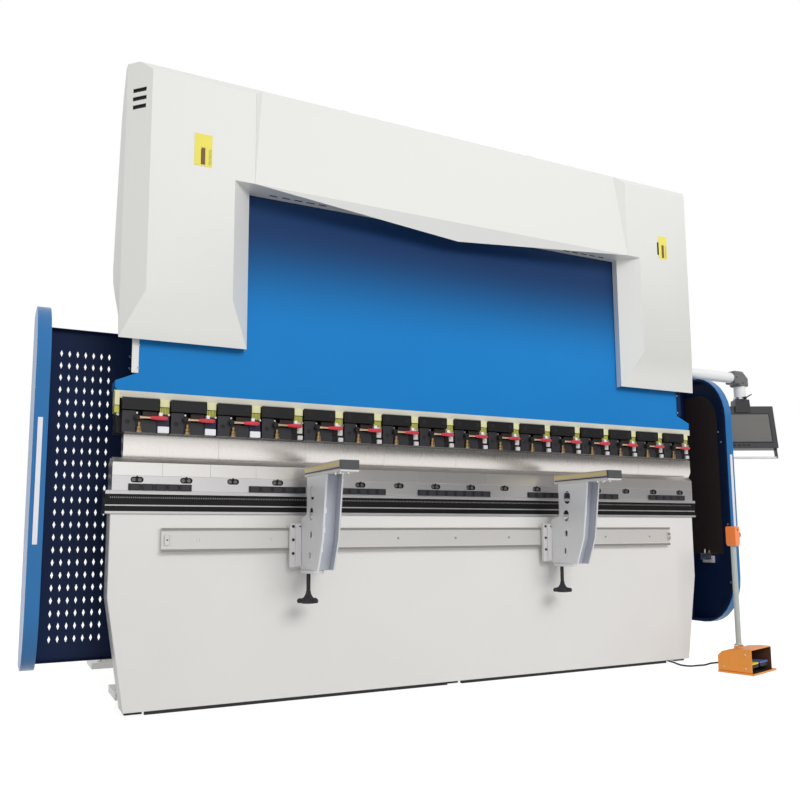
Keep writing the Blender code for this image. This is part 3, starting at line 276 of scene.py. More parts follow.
class Finish:
    """A material under way: its tree, its shader and the colour built up so far."""

    def __init__(self, name):
        self.material = bpy.data.materials.new(name)
        self.material.use_nodes = True
        self.tree = self.material.node_tree
        self.shader = self.tree.nodes["Principled BSDF"]

    def group(self, name, **inputs):
        """Places a shared group, which is built the first time it is asked for."""
        tree = bpy.data.node_groups.get(name) or SHADER_GROUPS[name]()
        made = node(self.tree, "ShaderNodeGroup", node_tree=tree)
        for name, value in inputs.items():
            made.inputs[name.replace("_", " ")].default_value = value
        return made

    def mix(self, factor, first, second):
        made = node(self.tree, "ShaderNodeMix", data_type="RGBA")
        self.tree.links.new(factor, made.inputs[0])
        for socket, value in zip((made.inputs[6], made.inputs[7]), (first, second)):
            if isinstance(value, tuple):
                socket.default_value = (*value, 1.0)
            else:
                self.tree.links.new(value, socket)
        return made.outputs[2]

    def spread(self, factor, low, high):
        made = node(self.tree, "ShaderNodeMapRange")
        made.inputs["To Min"].default_value = low
        made.inputs["To Max"].default_value = high
        self.tree.links.new(factor, made.inputs["Value"])
        return made.outputs["Result"]

    def bump(self, height, strength, distance):
        made = node(self.tree, "ShaderNodeBump")
        made.inputs["Strength"].default_value = strength
        made.inputs["Distance"].default_value = distance
        self.tree.links.new(height, made.inputs["Height"])
        self.tree.links.new(made.outputs["Normal"], self.shader.inputs["Normal"])

    def set(self, **values):
        for name, value in values.items():
            self.shader.inputs[name.replace("_", " ")].default_value = value

    def feed(self, name, socket):
        self.tree.links.new(socket, self.shader.inputs[name])


def shade(colour, factor):
    return tuple(min(1.0, c * factor) for c in colour)


def powder_coat(name, colour, rough=0.42, grain=420.0, wear=0.25, dust=0.10, worn=0.55,
                relief=0.12, coat=0.0, shine=0.5):
    """Baked paint with a faint orange-peel skin, rubbed edges and a little dust."""
    made = Finish(name)
    skin = made.group("fine_grain", Scale=grain, Patch_Scale=2.4)
    edges = made.group("edge_wear", Width=0.0022, Amount=wear)
    settled = made.group("settled_dust", Amount=dust)
    base = made.mix(skin.outputs["Tone"], shade(colour, 0.965), shade(colour, 1.03))
    base = made.mix(edges.outputs["Mask"], base, shade(colour, worn))
    base = made.mix(settled.outputs["Mask"], base, tone(176, 172, 164))
    made.feed("Base Color", base)
    made.feed("Roughness", made.spread(skin.outputs["Tone"], rough - 0.05, rough + 0.06))
    made.bump(skin.outputs["Height"], relief, 0.0006)
    made.set(Coat_Weight=coat, Coat_Roughness=0.12, Specular_IOR_Level=shine)
    return made.material


RAM_PAINTED_SHADE_Z = (1.62, 2.12)   # where the painted shade starts and where it is full


def ram_coat_painted_shade(name, colour):
    """Gloss blue of the ram, with painted shade: the blue deepens towards its top, where the apron
    shades it.
    """
    made = Finish(name)
    upper = tuple(colours().ram_shade)
    skin = made.group("fine_grain", Scale=380.0, Patch_Scale=1.6)
    edges = made.group("edge_wear", Width=0.0022, Amount=0.3)
    place = node(made.tree, "ShaderNodeTexCoord")
    split = node(made.tree, "ShaderNodeSeparateXYZ")
    made.tree.links.new(place.outputs["Object"], split.inputs[0])
    rise = node(made.tree, "ShaderNodeMapRange", interpolation_type="SMOOTHSTEP")
    rise.inputs["From Min"].default_value, rise.inputs["From Max"].default_value = RAM_PAINTED_SHADE_Z
    made.tree.links.new(split.outputs["Z"], rise.inputs["Value"])
    base = made.mix(skin.outputs["Tone"], shade(colour, 0.92), shade(colour, 1.06))
    # Painted shade: the blue deepens towards the top, where the apron shades the ram.
    base = made.mix(rise.outputs["Result"], base, upper)
    base = made.mix(edges.outputs["Mask"], base, shade(colour, 1.9))
    made.feed("Base Color", base)
    made.feed("Roughness", made.spread(skin.outputs["Tone"], 0.30, 0.42))
    made.bump(skin.outputs["Height"], 0.10, 0.0006)
    made.set(Specular_IOR_Level=0.18)
    return made.material


def ground_metal(name, colour, rough=0.28, scale=600.0, stretch=(0.03, 1.0, 1.0), metal=0.92,
                 wear=0.4, relief=0.18, low=0.86, high=1.08):
    """Ground steel: fine lines one way, cloudy tone and brighter edges."""
    made = Finish(name)
    lay = made.group("grinding", Scale=scale, Stretch=stretch)
    edges = made.group("edge_wear", Width=0.0016, Amount=wear)
    base = made.mix(lay.outputs["Tone"], shade(colour, low), shade(colour, high))
    base = made.mix(lay.outputs["Height"], base, shade(colour, 0.93))
    base = made.mix(edges.outputs["Mask"], base, shade(colour, 1.35))
    made.feed("Base Color", base)
    made.feed("Roughness", made.spread(lay.outputs["Height"], rough - 0.07, rough + 0.09))
    made.bump(lay.outputs["Height"], relief, 0.0003)
    made.set(Metallic=metal)
    return made.material


def moulded(name, colour, rough=0.45, grain=900.0, relief=0.10, coat=0.0, wear=0.2):
    """Moulded plastic or rubber with a fine spark-eroded grain."""
    made = Finish(name)
    skin = made.group("fine_grain", Scale=grain, Patch_Scale=9.0)
    edges = made.group("edge_wear", Width=0.0012, Amount=wear)
    base = made.mix(skin.outputs["Tone"], shade(colour, 0.93), shade(colour, 1.06))
    base = made.mix(edges.outputs["Mask"], base, shade(colour, 1.5))
    made.feed("Base Color", base)
    made.feed("Roughness", made.spread(skin.outputs["Height"], rough - 0.06, rough + 0.08))
    made.bump(skin.outputs["Height"], relief, 0.0002)
    made.set(Coat_Weight=coat, Coat_Roughness=0.08)
    return made.material


def screen_glass(name, colour):
    """Unlit display behind a glossy pane."""
    made = Finish(name)
    skin = made.group("fine_grain", Scale=1500.0, Patch_Scale=5.0)
    made.feed("Base Color", made.mix(skin.outputs["Tone"], shade(colour, 0.90),
                                     shade(colour, 1.10)))
    made.feed("Roughness", made.spread(skin.outputs["Height"], 0.20, 0.30))
    made.set(Coat_Weight=0.2, Coat_Roughness=0.05)
    return made.material


# ways that a grinding lies: upright, from front to rear, or none
UPRIGHT, INWARD, NO_LAY = (1.0, 1.0, 0.03), (1.0, 0.03, 1.0), (1.0, 1.0, 1.0)
FINISHES = {   # name: how it is made, its colour or the setting that holds it, the rest
    "cover_paint": (powder_coat, "cover_paint", dict(rough=0.45)),
    "bed_paint": (powder_coat, "bed_paint", dict(rough=0.40, wear=0.35)),
    "ram_paint": (ram_coat_painted_shade, "ram_paint", dict()),
    "guard_paint": (powder_coat, "guard_paint",
                    dict(rough=0.34, wear=0.2, worn=1.7, coat=0.15, shine=0.3)),
    "guard_lining": (powder_coat, "guard_lining",
                     dict(rough=0.42, wear=0.15, worn=2.2, dust=0.0, shine=0.2)),
    "liner": (moulded, "liner", dict(rough=0.5, grain=300.0)),
    # Painted shade: near-black for holes, slots, sockets, recesses and gaps, whose dark is shade.
    "vent_dark": (moulded, (22, 22, 23), dict(rough=0.6)),
    "slot_brown": (moulded, (120, 88, 48), dict(rough=0.5)),
    "rail_edge": (ground_metal, (150, 148, 146), dict(rough=0.4, metal=0.3)),
    "channel_grey": (powder_coat, (192, 196, 206), dict(rough=0.4, wear=0.2)),
    "punch_bevel": (ground_metal, (92, 85, 81), dict(rough=0.36, low=0.75, stretch=UPRIGHT)),
    "table_black": (ground_metal, "table_black", dict(rough=0.42, metal=0.5, wear=0.5)),
    "plate_steel": (ground_metal, (214, 212, 212), dict(rough=0.34, metal=0.75)),
    "die_steel": (ground_metal, "tool_steel", dict(rough=0.30)),
    "punch_steel": (ground_metal, (232, 227, 222),
                    dict(rough=0.28, low=0.78, stretch=UPRIGHT, relief=0.04)),
    "holder_steel": (ground_metal, (224, 222, 222), dict(rough=0.34, low=0.9)),
    "wedge_steel": (ground_metal, (44, 43, 45),
                    dict(rough=0.40, metal=0.4, stretch=(1.0, 1.0, 0.05))),
    "bright_steel": (ground_metal, (214, 213, 210), dict(rough=0.22, scale=900.0, stretch=NO_LAY)),
    "bolt_steel": (ground_metal, (122, 120, 120),
                   dict(rough=0.30, scale=900.0, stretch=NO_LAY, metal=0.6)),
    "scale_marks": (ground_metal, (168, 166, 164), dict(rough=0.4, metal=0.4)),
    "clamp_black": (ground_metal, (23, 22, 23), dict(rough=0.42, metal=0.2, wear=0.35)),
    "clamp_grey": (ground_metal, (54, 54, 58), dict(rough=0.42, metal=0.3)),
    "clamp_brown": (ground_metal, (54, 43, 42), dict(rough=0.45, metal=0.3)),
    "clamp_navy": (powder_coat, (25, 26, 56), dict(rough=0.38, wear=0.2, worn=2.0)),
    "cream_strip": (powder_coat, (214, 211, 196), dict(rough=0.45, wear=0.3)),
    "spacer_cream": (powder_coat, (226, 224, 176), dict(rough=0.45, wear=0.3)),
    "spacer_green": (powder_coat, (190, 190, 92), dict(rough=0.42, wear=0.3)),
    "tab_white": (moulded, (236, 236, 240), dict(rough=0.4)),
    "strip_grey": (moulded, (206, 203, 200), dict(rough=0.4)),
    "brass": (ground_metal, (176, 146, 100),
              dict(rough=0.32, scale=900.0, stretch=(1.0, 1.0, 0.1))),
    "lever_shank": (ground_metal, "shank",
                    dict(rough=0.3, scale=700.0, stretch=(0.05, 1.0, 1.0), metal=0.8)),
    "lever_grip": (moulded, "grip", dict(rough=0.34, coat=0.3)),
    "support_paint": (powder_coat, "support", dict(rough=0.38, wear=0.3)),
    "carriage_paint": (powder_coat, (222, 220, 220), dict(rough=0.36, wear=0.3)),
    "support_top": (ground_metal, (190, 188, 186), dict(rough=0.34, stretch=INWARD, metal=0.7)),
    "gold_strip": (ground_metal, (224, 206, 140), dict(rough=0.34, stretch=INWARD, metal=0.45)),
    "cap_grey": (moulded, (78, 80, 82), dict(rough=0.45)),
    "rail_metal": (ground_metal, (224, 221, 217), dict(rough=0.38, metal=0.35)),
    "black_plastic": (moulded, (17, 16, 16), dict(rough=0.42)),
    "chrome": (ground_metal, (224, 225, 228),
               dict(rough=0.10, scale=900.0, stretch=(1.0, 1.0, 0.05), metal=1.0, relief=0.05)),
    "cylinder_black": (powder_coat, (52, 54, 57), dict(rough=0.4, wear=0.4, worn=2.4)),
    "tank_paint": (powder_coat, (40, 98, 150), dict(rough=0.4, wear=0.3, worn=1.7)),
    "motor_paint": (powder_coat, (72, 84, 96), dict(rough=0.45, wear=0.4, worn=1.7)),
    "tube_white": (powder_coat, (240, 241, 240), dict(rough=0.36, wear=0.15)),
    "elbow_grey": (moulded, (112, 111, 113), dict(rough=0.42, coat=0.1)),
    "pendant_grey": (moulded, "pendant_grey", dict(rough=0.42, coat=0.1)),
    "pendant_dark": (moulded, (36, 36, 37), dict(rough=0.42)),
    "screen": (screen_glass, "screen", dict()),
    "orange_paint": (powder_coat, "orange", dict(rough=0.38, wear=0.3, worn=1.5, coat=0.2)),
    "hood_inside": (powder_coat, (98, 62, 44), dict(rough=0.5, wear=0.1, dust=0.0)),
    "stop_orange": (moulded, (255, 132, 52), dict(rough=0.36, coat=0.3)),
    "post_grey": (powder_coat, (184, 192, 189), dict(rough=0.34)),
    "pedal_yellow": (moulded, (236, 190, 74), dict(rough=0.45)),
    "pedal_blue": (moulded, (48, 58, 120), dict(rough=0.45)),
    "rubber_black": (moulded, (24, 24, 26), dict(rough=0.6, grain=500.0, relief=0.2)),
    "button_red": (moulded, (190, 24, 28), dict(rough=0.3, coat=0.4)),
    "scale_yellow": (moulded, "scale_yellow", dict(rough=0.4)),
    "cord_rubber": (moulded, (52, 51, 50), dict(rough=0.55, grain=700.0, relief=0.15)),
}


def finish(name):
    """The named finish, built the first time it is asked for."""
    found = bpy.data.materials.get(name)
    if found:
        return found
    recipe, colour, settings = FINISHES[name]
    colour = getattr(colours(), colour) if isinstance(colour, str) else tone(*colour)
    return recipe(name, tuple(colour), **settings)


# ---------------------------------------------------------------- parts of a piece
def round_edges(part, width, steps=2, angle=30.0):
    sharp = [e for e in part.edges
             if len(e.link_faces) == 2 and e.calc_face_angle(0.0) > math.radians(angle)]
    if sharp:
        bmesh.ops.bevel(part, geom=sharp, offset=width, segments=steps, profile=0.5,
                        affect="EDGES", clamp_overlap=True)


def as_mesh(part, name="part"):
    mesh = bpy.data.meshes.new(name)
    part.to_mesh(mesh)
    part.free()
    return mesh


def pour(mesh, target=None):
    """Moves a mesh into target, or into a new loose shape."""
    target = target or bmesh.new()
    target.from_mesh(mesh)
    bpy.data.meshes.remove(mesh)
    return target


def evaluated(made):
    """A plain mesh of an object with its modifiers applied."""
    bpy.context.view_layer.update()
    ready = made.evaluated_get(bpy.context.evaluated_depsgraph_get())
    return bpy.data.meshes.new_from_object(ready)


def box_part(x, y, z):
    part = bmesh.new()
    bmesh.ops.create_cube(part, size=1.0)
    size = Vector((x[1] - x[0], y[1] - y[0], z[1] - z[0]))
    middle = Vector((x[0] + x[1], y[0] + y[1], z[0] + z[1])) * 0.5
    for vert in part.verts:
        vert.co = Vector([c * s for c, s in zip(vert.co, size)]) + middle
    return part


def aim(start, direction):
    """Places a part built up +Z from the origin at start, along direction."""
    turn = Vector(direction).to_track_quat("Z", "Y").to_matrix().to_4x4()
    return Matrix.Translation(Vector(start)) @ turn


def rod_part(start, end, radius, tip=None, sides=24):
    part = bmesh.new()
    run = Vector(end) - Vector(start)
    bmesh.ops.create_cone(part, cap_ends=True, segments=sides, radius1=radius,
                          radius2=radius if tip is None else tip, depth=run.length)
    lift = Matrix.Translation((0.0, 0.0, run.length * 0.5))
    bmesh.ops.transform(part, matrix=aim(start, run) @ lift, verts=part.verts)
    return part


def turned_part(profile, start=(0.0, 0.0, 0.0), direction=(0.0, 0.0, 1.0), sides=28):
    """A profile of (radius, height) points turned about direction."""
    part = bmesh.new()
    verts = [part.verts.new((r, 0.0, h)) for r, h in profile]
    edges = [part.edges.new(pair) for pair in zip(verts, verts[1:])]
    bmesh.ops.spin(part, geom=verts + edges, cent=(0.0, 0.0, 0.0), axis=(0.0, 0.0, 1.0),
                   angle=math.tau, steps=sides, use_duplicate=False)
    bmesh.ops.remove_doubles(part, verts=part.verts, dist=MERGE)
    bmesh.ops.transform(part, matrix=aim(start, direction), verts=part.verts)
    return part


PLANES = {
    "x": lambda u, v, w: (w, u, v),
    "y": lambda u, v, w: (u, w, v),
    "z": lambda u, v, w: (u, v, w),
}


def plate_part(outline, axis, low, high):
    """A flat outline, drawn square to axis, drawn out from low to high."""
    part = bmesh.new()
    place = PLANES[axis]
    face = part.faces.new([part.verts.new(place(u, v, low)) for u, v in outline])
    out = bmesh.ops.extrude_face_region(part, geom=[face])
    moved = [v for v in out["geom"] if isinstance(v, bmesh.types.BMVert)]
    bmesh.ops.translate(part, verts=moved, vec=Vector(place(0.0, 0.0, high - low)))
    return part


def cad_part(name):
    """A merged copy of a CAD node, with its flat faces made whole again."""
    part = bmesh.new()
    part.from_mesh(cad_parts[name].data)
    bmesh.ops.remove_doubles(part, verts=part.verts, dist=MERGE)
    bmesh.ops.dissolve_limit(part, angle_limit=math.radians(0.5), verts=part.verts,
                             edges=part.edges)
    return part


def stadium(centre, length, height, steps=10):
    """Outline of a slot with round ends, long side along the first axis."""
    reach = length * 0.5 - height * 0.5
    points = []
    for side, first in ((1.0, -90.0), (-1.0, 90.0)):
        for i in range(steps + 1):
            angle = math.radians(first + 180.0 * i / steps)
            points.append((centre[0] + side * reach + height * 0.5 * math.cos(angle),
                           centre[1] + height * 0.5 * math.sin(angle)))
    return points


class Piece:
    """Closed shapes gathered in one mesh, each with its own finish."""

    def __init__(self, name):
        self.name = name
        self.mesh = bmesh.new()
        self.finishes = []

    def slot(self, name):
        if name not in self.finishes:
            self.finishes.append(name)
        return self.finishes.index(name)

    def add(self, part, finish_name, edge=0.0, place=None, rule=None, steps=2):
        """Rounds a part's edges, places it and adds it; rule picks a finish face by face."""
        bmesh.ops.recalc_face_normals(part, faces=part.faces)
        if edge > 0.0:
            round_edges(part, edge, steps)
        if place is not None:
            bmesh.ops.transform(part, matrix=place, verts=part.verts)
        part.normal_update()
        for face in part.faces:
            chosen = rule(face.calc_center_median(), face.normal) if rule else None
            face.material_index = self.slot(chosen or finish_name)
        pour(as_mesh(part), self.mesh)
        return self

    def box(self, x, y, z, finish_name, edge=EDGE, place=None):
        return self.add(box_part(sorted(x), sorted(y), sorted(z)), finish_name, edge, place)

    def rod(self, start, end, radius, finish_name, tip=None, sides=24, edge=0.0, place=None):
        return self.add(rod_part(start, end, radius, tip, sides), finish_name, edge, place)

    def plate(self, outline, axis, low, high, finish_name, edge=EDGE, place=None):
        return self.add(plate_part(outline, axis, low, high), finish_name, edge, place)

    def turned(self, profile, start, direction, finish_name, sides=28, place=None):
        return self.add(turned_part(profile, start, direction, sides), finish_name, 0.0, place)

    def screw(self, at, outward, radius, finish_name="bright_steel", place=None):
        """Socket screw: a rounded head with a dark hexagon sunk in it, painted shade for the
        socket's hollow.
        """
        rise = Vector(outward).normalized()
        height = radius * 0.55
        self.turned([(0.0, height * 0.55), (radius * 0.45, height * 0.55),
                     (radius * 0.50, height), (radius * 0.82, height),
                     (radius, height * 0.72), (radius, -0.001), (0.0, -0.001)],
                    at, outward, finish_name, 14, place)
        at = Vector(at) + rise * (height * 0.56)
        return self.rod(at, at + rise * (height * 0.10), radius * 0.42, "vent_dark",
                        sides=6, place=place)

    def done(self, body, finish_slot, *replaced):
        mesh = as_mesh(self.mesh, self.name)
        for name in self.finishes:
            mesh.materials.append(finish(name))
        return settle(self.name, mesh, body, finish_slot, *replaced)


def settle(name, mesh, body, finish_slot, *replaced):
    """Shades a mesh with weighted normals, makes it an object and puts it on its body."""
    mesh.shade_smooth()
    mesh.set_sharp_from_angle(angle=math.radians(34.0))
    made = bpy.data.objects.new(name, mesh)
    bpy.context.scene.collection.objects.link(made)
    even = made.modifiers.new("even", "WEIGHTED_NORMAL")
    even.keep_sharp = True
    shaded = evaluated(made)
    made.modifiers.remove(even)
    made.data = shaded
    bpy.data.meshes.remove(mesh)
    shaded.name = name
    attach(made, body)
    if replaced:
        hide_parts(*replaced)
    return made


# ---------------------------------------------------------------- trees for what repeats
SOCKETS = {"Part": "Object", "Finish": "Material", "Count": "Int", "Columns": "Int",
           "Rows": "Int", "Width": "Float", "Height": "Float", "Radius": "Float"}


def start_tree(name, labels):
    """A new geometry tree with its sockets; those not in SOCKETS are vectors."""
    tree = bpy.data.node_groups.new(name, "GeometryNodeTree")
    new_socket(tree, "Geometry", "NodeSocketGeometry", "OUTPUT")
    for label in labels:
        new_socket(tree, label, "NodeSocket" + SOCKETS.get(label, "Vector"))
    return tree, node(tree, "NodeGroupInput").outputs


def wire(tree, sources, target, **pairs):
    """Links target's inputs to the named sources; an underscore stands for a space."""
    for socket, source in pairs.items():
        tree.links.new(sources[source], target.inputs[socket.replace("_", " ")])
    return target


def copies_on(tree, ends, points):
    """The tree's part, placed on every point."""
    part = wire(tree, ends, node(tree, "GeometryNodeObjectInfo"), Object="Part")
    copies = node(tree, "GeometryNodeInstanceOnPoints")
    tree.links.new(points, copies.inputs["Points"])
    tree.links.new(part.outputs["Geometry"], copies.inputs["Instance"])
    return copies


def close_tree(tree, ends, instances, merge=False):
    """Ends a tree in Realize Instances and Set Material."""
    real = node(tree, "GeometryNodeRealizeInstances")
    paint = node(tree, "GeometryNodeSetMaterial")
    tree.links.new(instances, real.inputs[0])
    source = real.outputs[0]
    if merge:
        weld = node(tree, "GeometryNodeMergeByDistance")
        weld.inputs["Distance"].default_value = MERGE
        tree.links.new(source, weld.inputs[0])
        source = weld.outputs[0]
    tree.links.new(source, paint.inputs["Geometry"])
    tree.links.new(ends["Finish"], paint.inputs["Material"])
    tree.links.new(paint.outputs[0], node(tree, "NodeGroupOutput").inputs[0])
    return tree


def row_tree():
    """Copies of a part in a straight row."""
    tree, ends = start_tree("row_of_parts", ("Part", "Count", "Start", "Step", "Finish"))
    line = node(tree, "GeometryNodeMeshLine", mode="OFFSET", count_mode="TOTAL")
    wire(tree, ends, line, Count="Count", Start_Location="Start", Offset="Step")
    return close_tree(tree, ends, copies_on(tree, ends, line.outputs["Mesh"]).outputs[0])


def grid_tree():
    """Copies of a cell side by side in an upright grid, welded into one sheet."""
    tree, ends = start_tree("grid_of_cells", ("Part", "Columns", "Rows", "Width", "Height",
                                              "Centre", "Finish"))
    grid = wire(tree, ends, node(tree, "GeometryNodeMeshGrid"), Size_X="Width",
                Size_Y="Height", Vertices_X="Columns", Vertices_Y="Rows")
    stand = wire(tree, ends, node(tree, "GeometryNodeTransform"), Translation="Centre")
    stand.inputs["Rotation"].default_value = (math.radians(90.0), 0.0, 0.0)
    tree.links.new(grid.outputs["Mesh"], stand.inputs["Geometry"])
    return close_tree(tree, ends, copies_on(tree, ends, stand.outputs[0]).outputs[0],
                      merge=True)


def circle_tree():
    """Copies of a part round a circle about Z, each turned to face outward."""
    tree, ends = start_tree("ring_of_parts", ("Part", "Count", "Radius", "Centre", "Tilt",
                                              "Finish"))
    circle = wire(tree, ends, node(tree, "GeometryNodeMeshCircle"), Vertices="Count",
                  Radius="Radius")
    face = node(tree, "FunctionNodeAlignRotationToVector", axis="X")
    tree.links.new(node(tree, "GeometryNodeInputPosition").outputs[0], face.inputs["Vector"])
    copies = copies_on(tree, ends, circle.outputs["Mesh"])
    tree.links.new(face.outputs[0], copies.inputs["Rotation"])
    move = wire(tree, ends, node(tree, "GeometryNodeTransform"), Translation="Centre",
                Rotation="Tilt")
    tree.links.new(copies.outputs[0], move.inputs["Geometry"])
    return close_tree(tree, ends, move.outputs[0])


REPEATS = {"row_of_parts": row_tree, "grid_of_cells": grid_tree, "ring_of_parts": circle_tree}


def grow(name, tree_name, part, finish_name, body, finish_slot, replaced=(), **inputs):
    """Runs a tree on a part once, and keeps the result as a plain mesh on its body."""
    tree = bpy.data.node_groups.get(tree_name) or REPEATS[tree_name]()
    bmesh.ops.recalc_face_normals(part, faces=part.faces)
    seed_mesh = as_mesh(part, name + "_part")
    seed = bpy.data.objects.new(name + "_part", seed_mesh)
    holder = bpy.data.objects.new(name + "_holder", bpy.data.meshes.new(name + "_holder"))
    for made in (seed, holder):
        bpy.context.scene.collection.objects.link(made)
    inputs.update(Part=seed, Finish=finish(finish_name))
    repeat = holder.modifiers.new("repeat", "NODES")
    repeat.node_group = tree
    for item in tree.interface.items_tree:
        if item.in_out == "INPUT":
            repeat[item.identifier] = inputs[item.name]
    mesh = evaluated(holder)
    holder.modifiers.remove(repeat)
    bpy.data.objects.remove(holder)
    bpy.data.objects.remove(seed)
    bpy.data.meshes.remove(seed_mesh)
    return settle(name, mesh, body, finish_slot, *replaced)


def rounded(part, edge):
    bmesh.ops.recalc_face_normals(part, faces=part.faces)
    round_edges(part, edge)
    return part


def screw_part(outward, radius):
    """A plain round-headed screw for a tree to repeat, standing out from the origin."""
    height = radius * 0.55
    return turned_part([(0.0, height * 0.45), (radius * 0.42, height * 0.45),
                        (radius * 0.48, height), (radius * 0.80, height),
                        (radius, height * 0.7), (radius, -0.0015), (0.0, -0.0015)],
                       (0.0, 0.0, 0.0), outward, 10)


def row(name, part, finish_name, body, finish_slot, count, start, step, replaced=()):
    return grow(name, "row_of_parts", part, finish_name, body, finish_slot, replaced,
                Count=count, Start=Vector(start), Step=Vector(step))


def carry(new_name, cad_name, paint="cover_paint", finish_slot="cover_paint",
          body="machine_frame", edge=0.0015):
    """A CAD node in a finish, with its edges rounded."""
    made = Piece(new_name)
    made.add(cad_part(cad_name), paint, edge)
    return made.done(body, finish_slot, cad_name)


def screw_row(name, outward, radius, count, start, step, paint="bright_steel"):
    row(name, screw_part(outward, radius), paint, "machine_frame", "ground_steel", count, start,
        step)


# ---------------------------------------------------------------- stage
def seen_directly(tree):
    """1 on rays from the camera, a mirror or glass, and 0 on the rest."""
    rays = node(tree, "ShaderNodeLightPath").outputs
    seen = math_node(tree, "MAXIMUM", rays["Is Camera Ray"], rays["Is Glossy Ray"])
    return math_node(tree, "MAXIMUM", seen, rays["Is Transmission Ray"])


def source_node(tree, kind, **values):
    """A shader node with its inputs set."""
    made = node(tree, kind)
    for name, value in values.items():
        made.inputs[name].default_value = value
    return made.outputs[0]


def blend(tree, factor, first, second):
    made = node(tree, "ShaderNodeMixShader")
    if isinstance(factor, float):
        made.inputs[0].default_value = factor
    else:
        tree.links.new(factor, made.inputs[0])
    tree.links.new(first, made.inputs[1])
    tree.links.new(second, made.inputs[2])
    return made.outputs[0]


def grey(level):
    return (level, level, level, 1.0)


def stage_material(name):
    """Pale floor that reads as white where nothing shades it, with a faint sheen."""
    made = bpy.data.materials.new(name)
    made.use_nodes = True
    tree = made.node_tree
    tree.nodes.clear()
    out = node(tree, "ShaderNodeOutputMaterial")
    plain = source_node(tree, "ShaderNodeBsdfDiffuse", Color=grey(0.62))
    lit = node(tree, "ShaderNodeAddShader")
    tree.links.new(source_node(tree, "ShaderNodeBsdfDiffuse", Color=grey(0.34)), lit.inputs[0])
    tree.links.new(source_node(tree, "ShaderNodeEmission", Strength=0.98), lit.inputs[1])
    gloss = blend(tree, 0.16, lit.outputs[0],
                  source_node(tree, "ShaderNodeBsdfGlossy", Roughness=0.10))
    tree.links.new(blend(tree, seen_directly(tree), plain, gloss), out.inputs["Surface"])
    return made


def card_material(name, level):
    made = bpy.data.materials.new(name)
    made.use_nodes = True
    shader = made.node_tree.nodes["Principled BSDF"]
    shader.inputs["Base Color"].default_value = (level, level * 0.92, level * 0.88, 1.0)
    shader.inputs["Roughness"].default_value = 1.0
    return made


def flat_stage_piece(name, corners, material):
    mesh = bpy.data.meshes.new(name)
    mesh.from_pydata(corners, [], [tuple(range(len(corners)))])
    mesh.materials.append(material)
    made = bpy.data.objects.new(name, mesh)
    bpy.context.scene.collection.objects.link(made)
    return made


def sky(level):
    """Even studio light, which the camera and mirrors see as white."""
    world = bpy.data.worlds.new("studio")
    bpy.context.scene.world = world
    world.use_nodes = True
    tree = world.node_tree
    tree.nodes.clear()
    out = node(tree, "ShaderNodeOutputWorld")
    light = source_node(tree, "ShaderNodeBackground", Color=grey(1.0), Strength=level)
    white = source_node(tree, "ShaderNodeBackground", Color=grey(1.0))
    tree.links.new(blend(tree, seen_directly(tree), light, white), out.inputs["Surface"])


def lamp(name, power, size, at, target):
    data = bpy.data.lights.new(name, "AREA")
    data.energy = power
    data.shape = "RECTANGLE"
    data.size, data.size_y = size
    made = bpy.data.objects.new(name, data)
    made.matrix_world = aim(at, Vector(at) - Vector(target))
    made.visible_glossy = False
    bpy.context.scene.collection.objects.link(made)
    return made


CAMERA_AT = (-2.0308, -3.4435, 0.7207)
CAMERA_YAW = math.radians(26.0245)
CAMERA_PITCH = math.radians(6.9484)
CAMERA_ROLL = math.radians(-0.2295)
CAMERA_LENS = 36.099         # millimetres, on a sensor 36 mm wide
CAMERA_SHIFT = (0.0204, 0.0432)


def place_camera():
    data = bpy.data.cameras.new("camera")
    camera = bpy.data.objects.new("camera", data)
    bpy.context.scene.collection.objects.link(camera)
    right = Vector((math.cos(CAMERA_YAW), -math.sin(CAMERA_YAW), 0.0))
    ahead = Vector((math.sin(CAMERA_YAW) * math.cos(CAMERA_PITCH),
                    math.cos(CAMERA_YAW) * math.cos(CAMERA_PITCH), math.sin(CAMERA_PITCH)))
    up = right.cross(ahead)
    level = right * math.cos(CAMERA_ROLL) + up * math.sin(CAMERA_ROLL)
    upright = up * math.cos(CAMERA_ROLL) - right * math.sin(CAMERA_ROLL)
    turn = Matrix((level, upright, -ahead)).transposed().to_4x4()
    turn.translation = Vector(CAMERA_AT)
    camera.matrix_world = turn
    data.sensor_width = 36.0
    data.lens = CAMERA_LENS
    data.shift_x, data.shift_y = CAMERA_SHIFT
    data.clip_end = 200.0
    bpy.context.scene.camera = camera


class PressBrakeSetStage(bpy.types.Operator):
    """Floor, soft lights, pale surroundings and the camera"""
    bl_idname = "press_brake.set_stage"
    bl_label = "Stage and camera"

    def execute(self, context):
        settings = context.scene.press_brake_stage
        context.scene.view_settings.view_transform = "Standard"
        reach = 60.0
        flat_stage_piece("floor", [(-reach, -reach, -0.0005), (reach, -reach, -0.0005),
                                   (reach, reach, -0.0005), (-reach, reach, -0.0005)],
                         stage_material("floor_pale"))
        for name, left, right, level in (("dark_flag", 0.9, 5.6, 0.03),
                                         ("grey_flag", 5.6, 13.0, 0.30)):
            flag = flat_stage_piece(name, [(left, -5.2, 0.2), (right, -5.2, 0.2),
                                           (right, -5.2, 3.4), (left, -5.2, 3.4)],
                                    card_material(name, level))
            flag.visible_camera = False
            flag.visible_diffuse = False
            flag.visible_shadow = False
        sky(settings.sky)
        lamp("key_lamp", settings.key, (5.0, 3.0), (0.9, -6.4, 4.5), (0.1, 0.0, 1.2))
        lamp("left_lamp", settings.fill, (2.5, 3.0), (-5.5, -2.5, 2.6), (-0.6, 0.0, 1.2))
        place_camera()
        return {"FINISHED"}


# ---------------------------------------------------------------- foot cord
def station_point(x, y, z):
    return STATION @ Vector((x, y, z))


